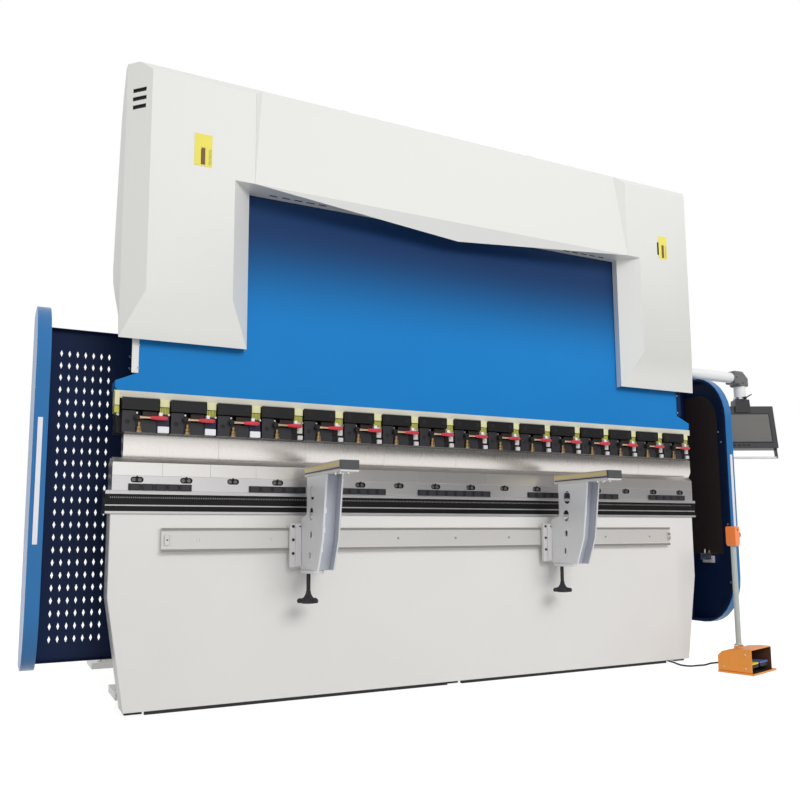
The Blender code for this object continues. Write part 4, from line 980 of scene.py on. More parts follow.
def cord_knots():
    floor_route = [(1.478, -0.245, 0.018), (1.462, -0.212, CORD_LINE),
                   (1.415, -0.205, CORD_LINE), (1.369, -0.200, CORD_LINE),
                   (1.352, -0.165, CORD_LINE), (1.362, -0.122, CORD_LINE),
                   (1.385, -0.070, CORD_LINE), (1.400, -0.020, CORD_LINE),
                   (1.422, 0.040, CORD_LINE), (1.460, 0.100, CORD_LINE),
                   (1.515, 0.160, CORD_LINE), (1.555, 0.240, CORD_LINE),
                   (1.572, 0.350, CORD_LINE), (1.575, 0.470, CORD_LINE),
                   (1.563, 0.580, CORD_LINE), (1.543, 0.660, 0.016), (1.524, 0.722, 0.072),
                   (1.511, 0.765, 0.180), (1.504, 0.788, 0.340), (1.501, 0.797, 0.560),
                   (*CABINET_GLAND, CABINET_FLOOR - 0.100),
                   (*CABINET_GLAND, CABINET_FLOOR - 0.006)]
    return [station_point(0.0, STATION_REAR + 0.006, 0.030),
            station_point(0.0, STATION_REAR + 0.034, 0.030)] + [Vector(p) for p in floor_route]


def smooth_route(points, spacing):
    """Catmull-Rom curve through the knots, read off at an even spacing."""
    fine = []
    padded = [points[0]] + points + [points[-1]]
    for a, b, c, d in zip(padded, padded[1:], padded[2:], padded[3:]):
        for step in range(40):
            t = step / 40.0
            fine.append(0.5 * ((2 * b) + (c - a) * t + (2 * a - 5 * b + 4 * c - d) * t * t
                               + (3 * b - a - 3 * c + d) * t ** 3))
    fine.append(points[-1])
    route = [fine[0]]
    gone = 0.0
    for p, q in zip(fine, fine[1:]):
        gone += (q - p).length
        if gone >= spacing:
            route.append(q.copy())
            gone = 0.0
    route.append(fine[-1])
    for spot in route:
        spot.z = max(spot.z, CORD_LINE)
    return route


def boot(name, start, direction, wide, slim, length, body, finish_slot):
    """Tapered, ringed strain relief."""
    made = Piece(name)
    rings = 5
    profile = [(0.0, length), (slim, length)]
    for i in range(rings):
        share = i / rings
        radius = slim + (wide - slim) * (share + 0.5 / rings)
        high = length * (1.0 - share) - length * 0.04
        profile += [(radius, high - length * 0.02), (radius, high - length * 0.10),
                    (radius - 0.0008, high - length * 0.12)]
    profile += [(wide, length * 0.02), (wide, 0.0), (0.0, 0.0)]
    made.turned(profile, start, direction, "rubber_black", 20)
    return made.done(body, finish_slot)


class PressBrakeAddCord(bpy.types.Operator):
    """Foot station's cord, from the hood to the cabinet's gland"""
    bl_idname = "press_brake.add_cord"
    bl_label = "Foot cord"

    def execute(self, context):
        route = smooth_route(cord_knots(), 0.0131)
        curve = bpy.data.curves.new("foot_cable", "CURVE")
        curve.dimensions = "3D"
        curve.bevel_depth = CORD_R
        curve.bevel_resolution = 4
        curve.use_fill_caps = True
        spline = curve.splines.new("POLY")
        spline.points.add(len(route) - 1)
        for point, spot in zip(spline.points, route):
            point.co = (*spot, 1.0)
        spline.use_smooth = True
        curve.materials.append(finish("cord_rubber"))
        cable = bpy.data.objects.new("foot_cable", curve)
        context.scene.collection.objects.link(cable)
        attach(cable, "machine_frame")
        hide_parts("foot_cord")
        back = (STATION.to_3x3() @ Vector((0.0, 1.0, 0.0))).normalized()
        near = boot("cord_boot_station", station_point(0.0, STATION_REAR + 0.0003, 0.030), back,
                    0.0098, 0.0058, 0.034, "machine_frame", "cord_rubber")
        far = boot("cord_boot_cabinet", (*CABINET_GLAND, CABINET_FLOOR - 0.0243), (0, 0, -1),
                   0.0105, 0.0058, 0.036, "machine_frame", "cord_rubber")
        return {"FINISHED"}


# ---------------------------------------------------------------- covers
SCALE_PLATES = ((-1, -1.292, 0.076, 2.270, 2.412), (1, 1.325, 0.060, 2.252, 2.384))
VENT_BACK = 0.009


def scale_plate(side, centre, width, low, high):
    word = "left" if side < 0 else "right"
    made = Piece("stroke_scale_" + word)
    half = width * 0.5
    slot = 0.010
    bottom, top = low + 0.006, low + 0.082
    made.plate([(centre - half, low), (centre + half, low), (centre + half, high),
                (centre - half, high), (centre - half, bottom),
                (centre - slot, bottom), (centre - slot, top),
                (centre + slot, top), (centre + slot, bottom),
                (centre - half, bottom - 0.0001)],
               "y", COVER_FRONT - 0.0014, COVER_FRONT - SKIN, "scale_yellow", 0.0)
    made.box((centre - slot * 0.8, centre + slot * 0.8),
             (COVER_FRONT - 0.0010, COVER_FRONT - SKIN), (bottom + 0.001, top - 0.001),
             "slot_brown", 0.0)
    made.done("machine_frame", "cover_paint")
    ticks = 13
    row("stroke_marks_" + word,
        box_part((-0.006, 0.006), (-0.0002, 0.0002), (-0.0005, 0.0005)), "black_plastic",
        "machine_frame", "black_plastic", ticks,
        (centre + half - 0.009, COVER_FRONT - 0.0017, bottom + 0.004), (0.0, 0.0, 0.0055))


class PressBrakeAddCovers(bpy.types.Operator):
    """Column covers, centre cover with its apron, stroke scales and vents"""
    bl_idname = "press_brake.add_covers"
    bl_label = "Covers"

    def execute(self, context):
        for word in ("left", "right"):
            carry("cover_of_column_" + word, "column_cover_" + word, edge=0.0016)
        carry("cover_of_centre", "centre_cover", edge=0.0016)
        for plate in SCALE_PLATES:
            scale_plate(*plate)
        self.vent_backs()
        self.apron_vents()
        return {"FINISHED"}

    def vent_backs(self):
        """Dark box behind the slots in the outer chamfers: painted shade seen through the slots.
        """
        made = Piece("vent_mesh")
        for side in (-1, 1):
            turn = Matrix.Translation((side * (COVER_OUT - COVER_CHAMFER * 0.5),
                                       COVER_FRONT + COVER_CHAMFER * 0.5, 0.0))
            turn = turn @ Matrix.Rotation(side * math.radians(45.0), 4, "Z")
            made.box((-0.046, 0.046), (VENT_BACK, VENT_BACK + 0.002), (2.470, 2.600),
                     "vent_dark", 0.0, turn)
        made.done("machine_frame", "black_plastic")

    def apron_vents(self):
        """Small slots in the flat underside of the centre cover, beside the columns, drawn as dark
        plates in painted shade.
        """
        made = Piece("apron_vents")
        for side in (-1, 1):
            for i in range(5):
                made.plate(stadium((side * (0.950 - 0.060 * i), -0.100), 0.040, 0.008, 4), "z",
                           WINDOW_TOP - 0.0008, WINDOW_TOP + 0.0004, "vent_dark", 0.0)
        made.done("machine_frame", "black_plastic")


# ---------------------------------------------------------------- bed and table
class PressBrakeAddBed(bpy.types.Operator):
    """Bed plate, crowning table with its scale, and the support rail"""
    bl_idname = "press_brake.add_bed"
    bl_label = "Bed and table"

    def execute(self, context):
        made = Piece("front_bed")
        # Painted shadow: the walls of the low gap under the bed and two dark strips in it stand
        # for the shade under the bed.
        made.add(cad_part("bed_plate"), "bed_paint", 0.002, rule=lambda centre, normal:
                 "vent_dark" if centre.z < 0.0135 and abs(normal.z) < 0.5 else None)
        for left, right in ((-1.440, -0.040), (0.040, 1.355)):
            made.box((left, right), (-0.046, -0.030), (0.0006, 0.0136), "vent_dark", 0.0)
        made.done("machine_frame", "cover_paint", "bed_plate")
        made = Piece("table_bar")
        made.add(cad_part("crowning_table"), "table_black", 0.0005, rule=self.table_finish)
        made.done("machine_frame", "black_steel", "crowning_table")
        pitch = sizes().tooth_pitch
        count = int((TABLE_HIGH.x - TABLE_LOW.x - 0.04) / pitch)
        row("table_scale", box_part((-0.0011, 0.0011), (-0.0005, 0.0005), (-0.0028, 0.0028)),
            "scale_marks", "machine_frame", "ground_steel", count,
            (TABLE_LOW.x + 0.02, TABLE_LOW.y + 0.0028, 0.8655), (pitch, 0.0, 0.0))
        self.rail()
        return {"FINISHED"}

    def table_finish(self, centre, normal):
        if centre.z > 0.8795 or centre.z < 0.8100:
            return "plate_steel"
        if 0.8315 < centre.z < 0.8365:
            return "plate_steel"
        return None

    def rail(self):
        low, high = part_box("support_rail")
        made = Piece("slide_rail")
        # Painted shade: the lips' front faces take a darker grey for the shadow lines along the
        # rail.
        made.add(cad_part("support_rail"), "rail_metal", 0.0010,
                 rule=lambda centre, normal: "rail_edge" if centre.y < low.y + 0.002 else None)
        middle = (low.z + high.z) * 0.5
        for x in (low.x + 0.022, high.x - 0.011):   # clear of the right carriage
            made.box((x - 0.010, x + 0.010), (low.y - 0.004, low.y + 0.006),
                     (middle - 0.020, middle + 0.020), "bright_steel")
            made.screw((x, low.y - 0.004, middle), FRONT, 0.0075)
        made.done("machine_frame", "rail_aluminium", "support_rail")
        count = 9
        step = (high.x - low.x - 0.30) / (count - 1)
        screw_row("rail_screws", FRONT, 0.0065, count,
                  (low.x + 0.15, low.y + 0.0055, middle), (step, 0.0, 0.0))


# ---------------------------------------------------------------- dies
POCKET_FIRST = -1.500
POCKET_Z = 0.9385
POCKET_SIZE = (0.052, 0.024)
POCKET_DEPTH = 0.014
WEDGES = ((-1.535, -1.277), (-1.031, -0.769), (-0.653, -0.370), (-0.200, 0.213),
          (0.441, 1.043), (1.262, 1.535))
WEDGE_TOP = 0.922
VEE_HALF = 0.026
VEE_DEPTH = 0.028


def cut_away(target, cutter):
    """Boolean difference of two loose objects, as a plain mesh."""
    carve = target.modifiers.new("carve", "BOOLEAN")
    carve.operation = "DIFFERENCE"
    carve.object = cutter
    mesh = evaluated(target)
    bpy.data.objects.remove(target)
    bpy.data.objects.remove(cutter)
    return mesh


def loose(name, part):
    bmesh.ops.recalc_face_normals(part, faces=part.faces)
    made = bpy.data.objects.new(name, as_mesh(part, name))
    bpy.context.scene.collection.objects.link(made)
    return made


def slots_part(outlines, axis, low, high):
    """Slots to be cut, gathered in one loose shape."""
    gathered = bmesh.new()
    for outline in outlines:
        slot = plate_part(outline, axis, low, high)
        bmesh.ops.recalc_face_normals(slot, faces=slot.faces)
        pour(as_mesh(slot), gathered)
    return gathered


class PressBrakeAddDies(bpy.types.Operator):
    """Die holder with its bolts and wedges, and the lower die in lengths"""
    bl_idname = "press_brake.add_dies"
    bl_label = "Lower tooling"

    def execute(self, context):
        self.holder()
        self.bolts()
        self.wedges()
        self.die()
        return {"FINISHED"}

    def holder(self):
        front = -0.060
        body = loose("holder_body", rounded(box_part((HOLDER_LOW.x, HOLDER_HIGH.x),
                                                     (front, HOLDER_HIGH.y),
                                                     (HOLDER_LOW.z, HOLDER_HIGH.z)), 0.0010))
        pockets = [stadium((POCKET_FIRST + sizes().holder_pitch * i, POCKET_Z), *POCKET_SIZE)
                   for i in range(sizes().holder_bolts)]
        mesh = cut_away(body, loose("holder_slots", slots_part(
            pockets, "y", front - 0.02, front + POCKET_DEPTH)))
        mesh.materials.clear()
        mesh.materials.append(finish("holder_steel"))
        mesh.materials.append(finish("wedge_steel"))
        # Painted shade: faces inside the bolt pockets take the dark wedge steel, for the shade in
        # the pockets.
        for face in mesh.polygons:
            inside = front + 0.0005 < face.center.y < front + POCKET_DEPTH + 0.001
            in_band = abs(face.center.z - POCKET_Z) < POCKET_SIZE[1] * 0.52
            face.material_index = 1 if inside and in_band else 0
        settle("holder_bar", mesh, "machine_frame", "ground_steel", "die_holder")

    def bolts(self):
        front = -0.060
        count, pitch = sizes().holder_bolts, sizes().holder_pitch
        for name, offset in (("holder_bolts_left", -0.0125), ("holder_bolts_right", 0.0125)):
            screw_row(name, FRONT, 0.0088, count,
                      (POCKET_FIRST + offset, front + POCKET_DEPTH - 0.0045, POCKET_Z),
                      (pitch, 0.0, 0.0), "bolt_steel")
        # Dark notches above the pockets, in painted shade for their hollows.
        row("holder_notches",
            plate_part(stadium((0.0, 0.0), 0.0085, 0.0060, 4), "y", -0.0004, 0.0004),
            "vent_dark", "machine_frame", "black_plastic", count,
            (POCKET_FIRST, front - 0.0006, POCKET_Z + POCKET_SIZE[1] * 0.5 + 0.0010),
            (pitch, 0.0, 0.0))

    def wedges(self):
        made = Piece("holder_wedges")
        for left, right in WEDGES:
            parts = max(3, round((right - left) / 0.050))
            step = (right - left) / parts
            for i in range(parts):
                x = left + step * i
                made.box((x + 0.0006, x + step - 0.0006), (-0.0660, -0.0603),
                         (HOLDER_LOW.z, WEDGE_TOP), "wedge_steel", 0.0016)
                made.box((x + 0.009, x + step - 0.009), (-0.0672, -0.0655),
                         (HOLDER_LOW.z + 0.003, WEDGE_TOP - 0.003), "clamp_grey", 0.0008)
        made.done("machine_frame", "black_steel")

    def die(self):
        count = sizes().die_segments
        step = (DIE_HIGH.x - DIE_LOW.x) / count
        half, shoulder, top = 0.035, DIE_LOW.y, DIE_HIGH.z
        outline = [(shoulder, DIE_LOW.z), (-shoulder, DIE_LOW.z), (-shoulder, 1.009),
                   (half, top), (VEE_HALF, top), (0.0, top - VEE_DEPTH), (-VEE_HALF, top),
                   (-half, top), (shoulder, 1.009)]
        part = rounded(plate_part(outline, "x", 0.0002, step - 0.0002), 0.0006)
        row("die_lengths", part, "die_steel", "machine_frame", "ground_steel", count,
            (DIE_LOW.x, 0.0, 0.0), (step, 0.0, 0.0), ("lower_die",))


# ---------------------------------------------------------------- ram and punch
class PressBrakeAddRam(bpy.types.Operator):
    """Ram plate, its guide strips, and the punch in lengths"""
    bl_idname = "press_brake.add_ram"
    bl_label = "Ram and punch"

    def execute(self, context):
        # The ram's finish carries painted shade, a deeper blue towards its top.
        carry("ram_plate", "ram", "ram_paint", "blue_paint", "ram_beam", 0.0020)
        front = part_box("ram")[0].y
        made = Piece("ram_guide_strips")
        # The right strip takes the guards' dark navy instead of the cover paint: painted shade, as
        # that side lies in shadow.
        for side, paint in ((-1, "cover_paint"), (1, "guard_lining")):
            made.box((side * 1.510, side * 1.538), (front - 0.004, front - SKIN),
                     (1.380, 1.560), paint, 0.0008)
            for z in (1.400, 1.500):
                made.screw((side * 1.512, front - 0.004, z), FRONT, 0.005)
        made.done("ram_beam", "cover_paint")
        self.punch()
        return {"FINISHED"}

    def punch(self):
        count = sizes().punch_segments
        step = (PUNCH_HIGH.x - PUNCH_LOW.x) / count
        half, tang = PUNCH_HIGH.y, 0.0130
        shoulder, waist = 1.1277, 1.057
        outline = [(0.0, PUNCH_LOW.z), (half, waist), (half, shoulder), (tang, shoulder),
                   (tang, PUNCH_HIGH.z), (-tang, PUNCH_HIGH.z), (-tang, shoulder),
                   (-half, shoulder), (-half, waist)]
        part = rounded(plate_part(outline, "x", 0.0002, step - 0.0002), 0.0007)
        lengths = row("punch_lengths", part, "punch_steel", "ram_beam", "ground_steel", count,
                      (PUNCH_LOW.x, 0.0, 0.0), (step, 0.0, 0.0), ("punch",))
        # Painted shade: the punch's lower bevel faces take a dark steel for the shade on them.
        lengths.data.materials.append(finish("punch_bevel"))
        for face in lengths.data.polygons:
            if face.center.z < waist and abs(face.normal.x) < 0.5:
                face.material_index = 1


# ---------------------------------------------------------------- clamping units
UNIT_WIDTH = 0.148
UPPER_Z = (1.219, 1.268)
LOWER_Z = (1.1285, 1.216)
SPINE_FRONT = -0.058
NAVY_UNITS = 3               # the units at the left end have navy jaws and wide tabs


class PressBrakeAddClamps(bpy.types.Operator):
    """Clamp beam and the sixteen clamping units on it"""
    bl_idname = "press_brake.add_clamps"
    bl_label = "Clamping units"

    def along(self, name, part, finish_name, finish_slot, first=0, last=None):
        """One part of the units from first up to last, in a row along the beam."""
        pitch = sizes().clamp_pitch
        row(name, part, finish_name, "ram_beam", finish_slot,
            (last or sizes().clamp_count) - first, (CLAMP_START + pitch * first, 0.0, 0.0),
            (pitch, 0.0, 0.0))

    def execute(self, context):
        self.beam()
        self.upper()
        self.between()
        self.lower()
        return {"FINISHED"}

    def beam(self):
        made = Piece("clamp_spine")
        back, bottom, top, slot = 0.040, LOWER_Z[0] - 0.0005, BEAM_HIGH.z, 0.0135
        made.plate([(SPINE_FRONT, bottom), (-slot, bottom), (-slot, 1.205), (slot, 1.205),
                    (slot, bottom), (back, bottom), (back, top), (SPINE_FRONT, top)],
                   "x", -1.590, 1.590, "clamp_black", 0.0008)
        made.box((BEAM_LOW.x, 1.590), (-0.072, SPINE_FRONT - SKIN), (1.2700, top),
                 "cream_strip", 0.0010)
        made.box((BEAM_LOW.x, -1.585), (-0.100, -0.040), (1.236, 1.296), "spacer_cream", 0.001)
        made.box((BEAM_LOW.x, -1.585), (-0.097, -0.042), (1.205, 1.234), "spacer_green", 0.001)
        made.screw((-1.590, -0.0985, 1.198), FRONT, 0.0055)
        made.done("ram_beam", "black_steel", "clamp_beam")

    def blocks(self, rows):
        for name, x, y, z, edge, paint, finish_slot, *span in rows:
            self.along(name, rounded(box_part(x, y, z), edge), paint, finish_slot, *span)

    def upper(self):
        recess_y, recess_z = (-0.1158, -0.114), (1.236, 1.254)
        self.blocks((
            ("clamp_uppers", (0.0, UNIT_WIDTH), (-0.115, SPINE_FRONT), UPPER_Z, 0.0014,
             "clamp_black", "black_steel"),
            # The recesses are dark boxes: painted shade for their hollows.
            ("clamp_recesses_left", (0.014, 0.030), recess_y, recess_z, 0.0005,
             "vent_dark", "black_steel"),
            ("clamp_recesses_right", (0.118, 0.134), recess_y, recess_z, 0.0005,
             "vent_dark", "black_steel"),
            ("clamp_lips", (0.001, UNIT_WIDTH - 0.001), (-0.1130, -0.100), (1.2682, 1.2716),
             0.0005, "scale_marks", "ground_steel")))

    def between(self):
        left, right = UNIT_WIDTH + 0.004, sizes().clamp_pitch - 0.004
        self.blocks((("spacer_tops", (left, right), (-0.101, SPINE_FRONT), (1.2375, 1.2690),
                      0.001, "spacer_cream", "ground_steel"),))
        ribs = bmesh.new()
        count = 6
        step = (right - left) / count
        for i in range(count):
            x = left + step * i
            bmesh.ops.create_cube(ribs, size=1.0, matrix=Matrix.Translation(
                (x + step * 0.5, -0.0775, 1.2215)) @ Matrix.Diagonal(
                    (step * 0.72, 0.039, 0.0270, 1.0)))
        self.along("spacer_ribs", ribs, "spacer_green", "ground_steel")
        self.blocks((("clamp_studs_left", (0.146, 0.160), (-0.118, -0.060), (1.1975, 1.2115),
                      0.001, "tab_white", "ground_steel"),))
        self.along("clamp_studs_right", turned_part(
            [(0.0, 0.050), (0.0045, 0.050), (0.0052, 0.048), (0.0052, 0.0), (0.0, 0.0)],
            (0.1865, -0.060, 1.205), FRONT, 12), "bright_steel", "ground_steel")

    def lower(self):
        bottom, top = LOWER_Z
        middle = (1.1580, 1.2075)
        self.blocks((("clamp_jaws_left", (0.002, 0.0545), (-0.106, SPINE_FRONT), LOWER_Z,
                      0.0012, "clamp_grey", "black_steel"),))
        # Dark socket discs on the jaws: painted shade for their hollows.
        self.along("clamp_jaw_sockets", turned_part(
            [(0.0, 0.0010), (0.0075, 0.0010), (0.0100, 0.0), (0.0, 0.0)],
            (0.0225, -0.106, 1.1700), FRONT, 16), "vent_dark", "black_steel")
        self.blocks((
            ("clamp_jaws_back", (0.0555, 0.1405), (-0.098, SPINE_FRONT), (bottom, 1.1800),
             0.001, "clamp_grey", "black_steel"),
            ("clamp_jaws_high", (0.0835, 0.1405), (-0.101, SPINE_FRONT), (1.1950, top),
             0.001, "clamp_brown", "black_steel"),
            ("clamp_jaws_right", (0.1420, 0.1910), (-0.100, SPINE_FRONT), middle, 0.0012,
             "clamp_navy", "black_steel", 0, NAVY_UNITS),
            ("clamp_jaws_slim", (0.1420, 0.1640), (-0.100, SPINE_FRONT), middle, 0.0012,
             "clamp_black", "black_steel", NAVY_UNITS),
            ("clamp_strips", (0.1660, 0.1900), (-0.1000, SPINE_FRONT), middle, 0.0012,
             "strip_grey", "ground_steel", NAVY_UNITS),
            ("clamp_tabs_slim", (0.1660, 0.1890), (-0.1085, -0.0970),
             (bottom + 0.0010, 1.1480), 0.0012, "strip_grey", "ground_steel", NAVY_UNITS),
            ("clamp_feet_right", (0.1420, 0.1910), (-0.096, SPINE_FRONT), (bottom, 1.1575),
             0.001, "clamp_black", "black_steel"),
            ("clamp_tabs", (0.1435, 0.1890), (-0.1085, -0.0970), (bottom + 0.0010, 1.1560),
             0.0012, "tab_white", "ground_steel", 0, NAVY_UNITS)))
        self.along("clamp_pins", turned_part(
            [(0.0, 0.0400), (0.0050, 0.0400), (0.0060, 0.0380), (0.0060, 0.0260),
             (0.0050, 0.0250), (0.0050, 0.0225), (0.0100, 0.0210), (0.0100, 0.0120),
             (0.0080, 0.0110), (0.0110, 0.0090), (0.0110, 0.0), (0.0, 0.0)],
            (0.0690, -0.1090, bottom + 0.0005), UP, 16), "brass", "ground_steel")
        screw = screw_part(FRONT, 0.0050)
        bmesh.ops.translate(screw, verts=screw.verts, vec=Vector((0.0600, -0.1010, 1.2080)))
        self.along("clamp_small_screws", screw, "bright_steel", "ground_steel")


class PressBrakeAddLevers(bpy.types.Operator):
    """The sixteen clamping levers, each on its own body"""
    bl_idname = "press_brake.add_levers"
    bl_label = "Clamping levers"

    def execute(self, context):
        for name in LEVERS:
            low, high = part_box(name)
            number = name[-2:]
            x, z = low.x + LEVER_EYE, (low.z + high.z) * 0.5
            y = (low.y + high.y) * 0.5
            made = Piece("lever_" + number + "_handle")
            made.turned([(0.0, 0.0265), (0.0070, 0.0265), (0.0085, 0.0250), (0.0085, 0.0215),
                         (LEVER_EYE, 0.0205), (LEVER_EYE, 0.0030), (0.0090, 0.0), (0.0, 0.0)],
                        (x, high.y - SKIN, z), FRONT, "clamp_black", 20)
            made.turned([(0.0, 0.0540), (0.0040, 0.0540), (0.0046, 0.0200), (0.0060, 0.0080),
                         (0.0064, 0.0), (0.0, 0.0)],
                        (x + 0.0060, y, z), RIGHT, "lever_shank", 16)
            made.turned([(0.0, 0.0700), (0.0050, 0.0695), (0.0078, 0.0660), (0.0088, 0.0560),
                         (0.0086, 0.0300), (0.0074, 0.0060), (0.0062, 0.0), (0.0, 0.0)],
                        (x + 0.0530, y, z), RIGHT, "lever_grip", 18)
            made.done("lever_" + number, "lever_red", name)
        return {"FINISHED"}


# ---------------------------------------------------------------- side guards
def guard_outline(inset, back):
    """Closed outline of a guard's side in the Y-Z plane, inset from its outer edge."""
    points = [(back, GUARD_HIGH - inset)]
    steps = 9
    for high, way in ((GUARD_HIGH, 1.0), (GUARD_LOW, -1.0)):
        centre = high - way * GUARD_CORNER * 1.18
        for i in range(steps):
            share = i / (steps - 1)
            angle = math.radians(90.0 * (1.0 - share) if way > 0 else 90.0 * share)
            points.append((GUARD_FRONT + GUARD_CORNER
                           - (GUARD_CORNER - inset) * math.cos(angle),
                           centre + way * (GUARD_CORNER * 1.18 - inset) * math.sin(angle)))
    points.append((back, GUARD_LOW + inset))
    return points


def mirrored(side, first, second):
    """A span along X on one side of the machine, low end first."""
    return sorted((side * first, side * second))


class PressBrakeAddGuards(bpy.types.Operator):
    """Side guards: bent rim, skin, liner, handle, and the panel with its diamond holes"""
    bl_idname = "press_brake.add_guards"
    bl_label = "Side guards"

    def execute(self, context):
        for side, word in ((-1, "left"), (1, "right")):
            self.shell(side, word)
            self.fittings(side, word)
            self.panel(side, word)
        return {"FINISHED"}

    def shell(self, side, word):
        name = "guard_side_" + word
        back = PANEL_Y + 0.030
        middle = Vector((0.0, 0.10, (GUARD_LOW + GUARD_HIGH) * 0.5))

        def rule(centre, normal):
            inner_skin = normal.x * side < -0.7 and abs(centre.x) > GUARD_OUT - 0.006
            away = Vector((0.0, centre.y - middle.y, centre.z - middle.z))
            inner_rim = abs(normal.x) < 0.5 and normal.dot(away) < 0.0
            return "guard_lining" if inner_skin or inner_rim else None

        made = Piece("guard_shell_" + word)
        outer = guard_outline(0.0, back)
        inner = guard_outline(SHEET, back)
        rim = outer + list(reversed(inner))
        xs = mirrored(side, GUARD_OUT - SHEET * 0.5, GUARD_OUT - GUARD_RIM)
        made.add(plate_part(rim, "x", *xs), "guard_paint", 0.0010, rule=rule)
        xs = mirrored(side, GUARD_OUT, GUARD_OUT - SHEET)
        made.add(plate_part(outer, "x", *xs), "guard_paint", 0.0014, rule=rule)
        lip = guard_outline(SHEET, back)
        fold = guard_outline(SHEET + 0.014, back)
        xs = mirrored(side, GUARD_OUT - GUARD_RIM, GUARD_OUT - GUARD_RIM + 0.003)
        made.add(plate_part(lip + list(reversed(fold)), "x", *xs), "guard_lining", 0.0006)
        made.done("guard_" + word, "blue_paint", name)

    def fittings(self, side, word):
        made = Piece("guard_fittings_" + word)
        skin = GUARD_OUT - SHEET - SKIN
        liner = [(PANEL_Y - 0.012, 0.585)]
        for y, z in guard_outline(0.105, PANEL_Y - 0.012):
            if z > 0.585:
                liner.append((y, z))
        liner.append((GUARD_FRONT + 0.105, 0.585))
        xs = mirrored(side, skin, skin - 0.003)
        made.plate(liner, "x", *xs, "liner", 0.0006)
        for y, z in ((-0.006, 1.3145), (-0.024, 1.252), (-0.048, 1.440), (-0.040, 0.760),
                     (-0.040, 0.420), (0.150, 0.560)):
            made.screw((side * skin, y, z), (-side, 0, 0), 0.0060)
        made.box((side * skin, side * (skin - 0.006)), (0.066, 0.156), (0.532, 0.572),
                 "tab_white")
        made.box((side * (skin - 0.006), side * (skin - 0.030)), (0.078, 0.150),
                 (0.550, 0.590), "bright_steel")
        made.rod((side * (skin - 0.018), 0.092, 0.590), (side * (skin - 0.018), 0.092, 0.606),
                 0.006, "brass")
        made.rod((side * (skin - 0.018), 0.124, 0.590), (side * (skin - 0.018), 0.124, 0.612),
                 0.008, "bright_steel")
        grip_x = mirrored(side, GUARD_OUT - 0.0150, GUARD_OUT - 0.0330)
        made.box(grip_x, (GUARD_FRONT - 0.0030, GUARD_FRONT - 0.0001), (0.680, 1.168),
                 "tab_white", 0.0007)
        made.done("guard_" + word, "black_plastic")

    def panel(self, side, word):
        name = "guard_panel_" + word
        low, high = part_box(name)
        size = sizes()
        thick = 0.002
        columns, rows = size.hole_columns, size.hole_rows
        wide, tall = size.hole_pitch_x * columns, size.hole_pitch_z * rows
        outer = side * 1.688
        left, right = outer - wide * 0.5, outer + wide * 0.5
        bottom = 1.500 + size.hole_pitch_z * 0.5 - tall
        top = bottom + tall
        grow("guard_mesh_" + word, "grid_of_cells", self.cell(size, thick), "guard_lining",
             "guard_" + word, "navy_paint", (), Columns=columns, Rows=rows,
             Width=size.hole_pitch_x * (columns - 1), Height=size.hole_pitch_z * (rows - 1),
             Centre=Vector((outer, PANEL_Y, (bottom + top) * 0.5)))
        made = Piece("guard_frame_" + word)
        flange = mirrored(side, HINGE_X + 0.016, GUARD_OUT - SHEET - SKIN)
        front, back = PANEL_Y - thick, PANEL_Y + thick
        for x, z in (((flange[0], left), (low.z, high.z)), ((right, flange[1]), (low.z, high.z)),
                     ((left, right), (low.z, bottom)), ((left, right), (top, high.z))):
            made.box(x, (front, back), z, "guard_lining", 0.0)
        lip = mirrored(side, HINGE_X + 0.016, GUARD_OUT - GUARD_RIM - 0.001)
        for z in (low.z, high.z - SHEET):
            made.box(lip, (PANEL_Y - 0.030, PANEL_Y + 0.001), (z, z + SHEET), "guard_lining",
                     0.0008)
        for z in (0.260, 0.860, 1.440):
            made.turned([(0.0103, 0.090), (0.0170, 0.090), (0.0180, 0.088), (0.0180, 0.002),
                         (0.0170, 0.0), (0.0103, 0.0), (0.0103, 0.090)],
                        (side * HINGE_X, PANEL_Y, z), UP, "guard_lining", 20)
            for dz in (0.018, 0.072):
                made.screw((side * (HINGE_X + 0.030), front, z + dz), FRONT, 0.0055)
        made.done("guard_" + word, "navy_paint", name)

    def cell(self, size, thick):
        """One cell of the panel: a rectangle with a diamond hole through it."""
        part = bmesh.new()
        half_x, half_z = size.hole_pitch_x * 0.5, size.hole_pitch_z * 0.5
        frame_loop = [(half_x, 0.0), (half_x, half_z), (0.0, half_z), (-half_x, half_z),
                      (-half_x, 0.0), (-half_x, -half_z), (0.0, -half_z), (half_x, -half_z)]
        hole_w, hole_h = size.hole_width * 0.5, size.hole_height * 0.5
        hole_loop = [(hole_w, 0.0), (hole_w * 0.5, hole_h * 0.5), (0.0, hole_h),
                     (-hole_w * 0.5, hole_h * 0.5), (-hole_w, 0.0),
                     (-hole_w * 0.5, -hole_h * 0.5), (0.0, -hole_h),
                     (hole_w * 0.5, -hole_h * 0.5)]
        rings = [[[part.verts.new((x, y, z)) for x, z in loop]
                  for loop in (frame_loop, hole_loop)] for y in (-thick, thick)]
        count = len(frame_loop)
        for i in range(count):
            j = (i + 1) % count
            for outer, hole in rings:
                part.faces.new((outer[i], outer[j], hole[j], hole[i]))
            part.faces.new((rings[0][1][i], rings[0][1][j], rings[1][1][j], rings[1][1][i]))
        bmesh.ops.recalc_face_normals(part, faces=part.faces)
        front = min(part.faces, key=lambda f: f.calc_center_median().y)
        if front.normal.y > 0.0:
            bmesh.ops.reverse_faces(part, faces=part.faces)
        return part


# ---------------------------------------------------------------- sheet supports
CHEEK_HOLES = ((-0.225, 0.890, 0.064, 0.052), (-0.215, 0.800, 0.056, 0.044),
               (-0.213, 0.712, 0.030, 0.018), (-0.202, 0.625, 0.028, 0.014))


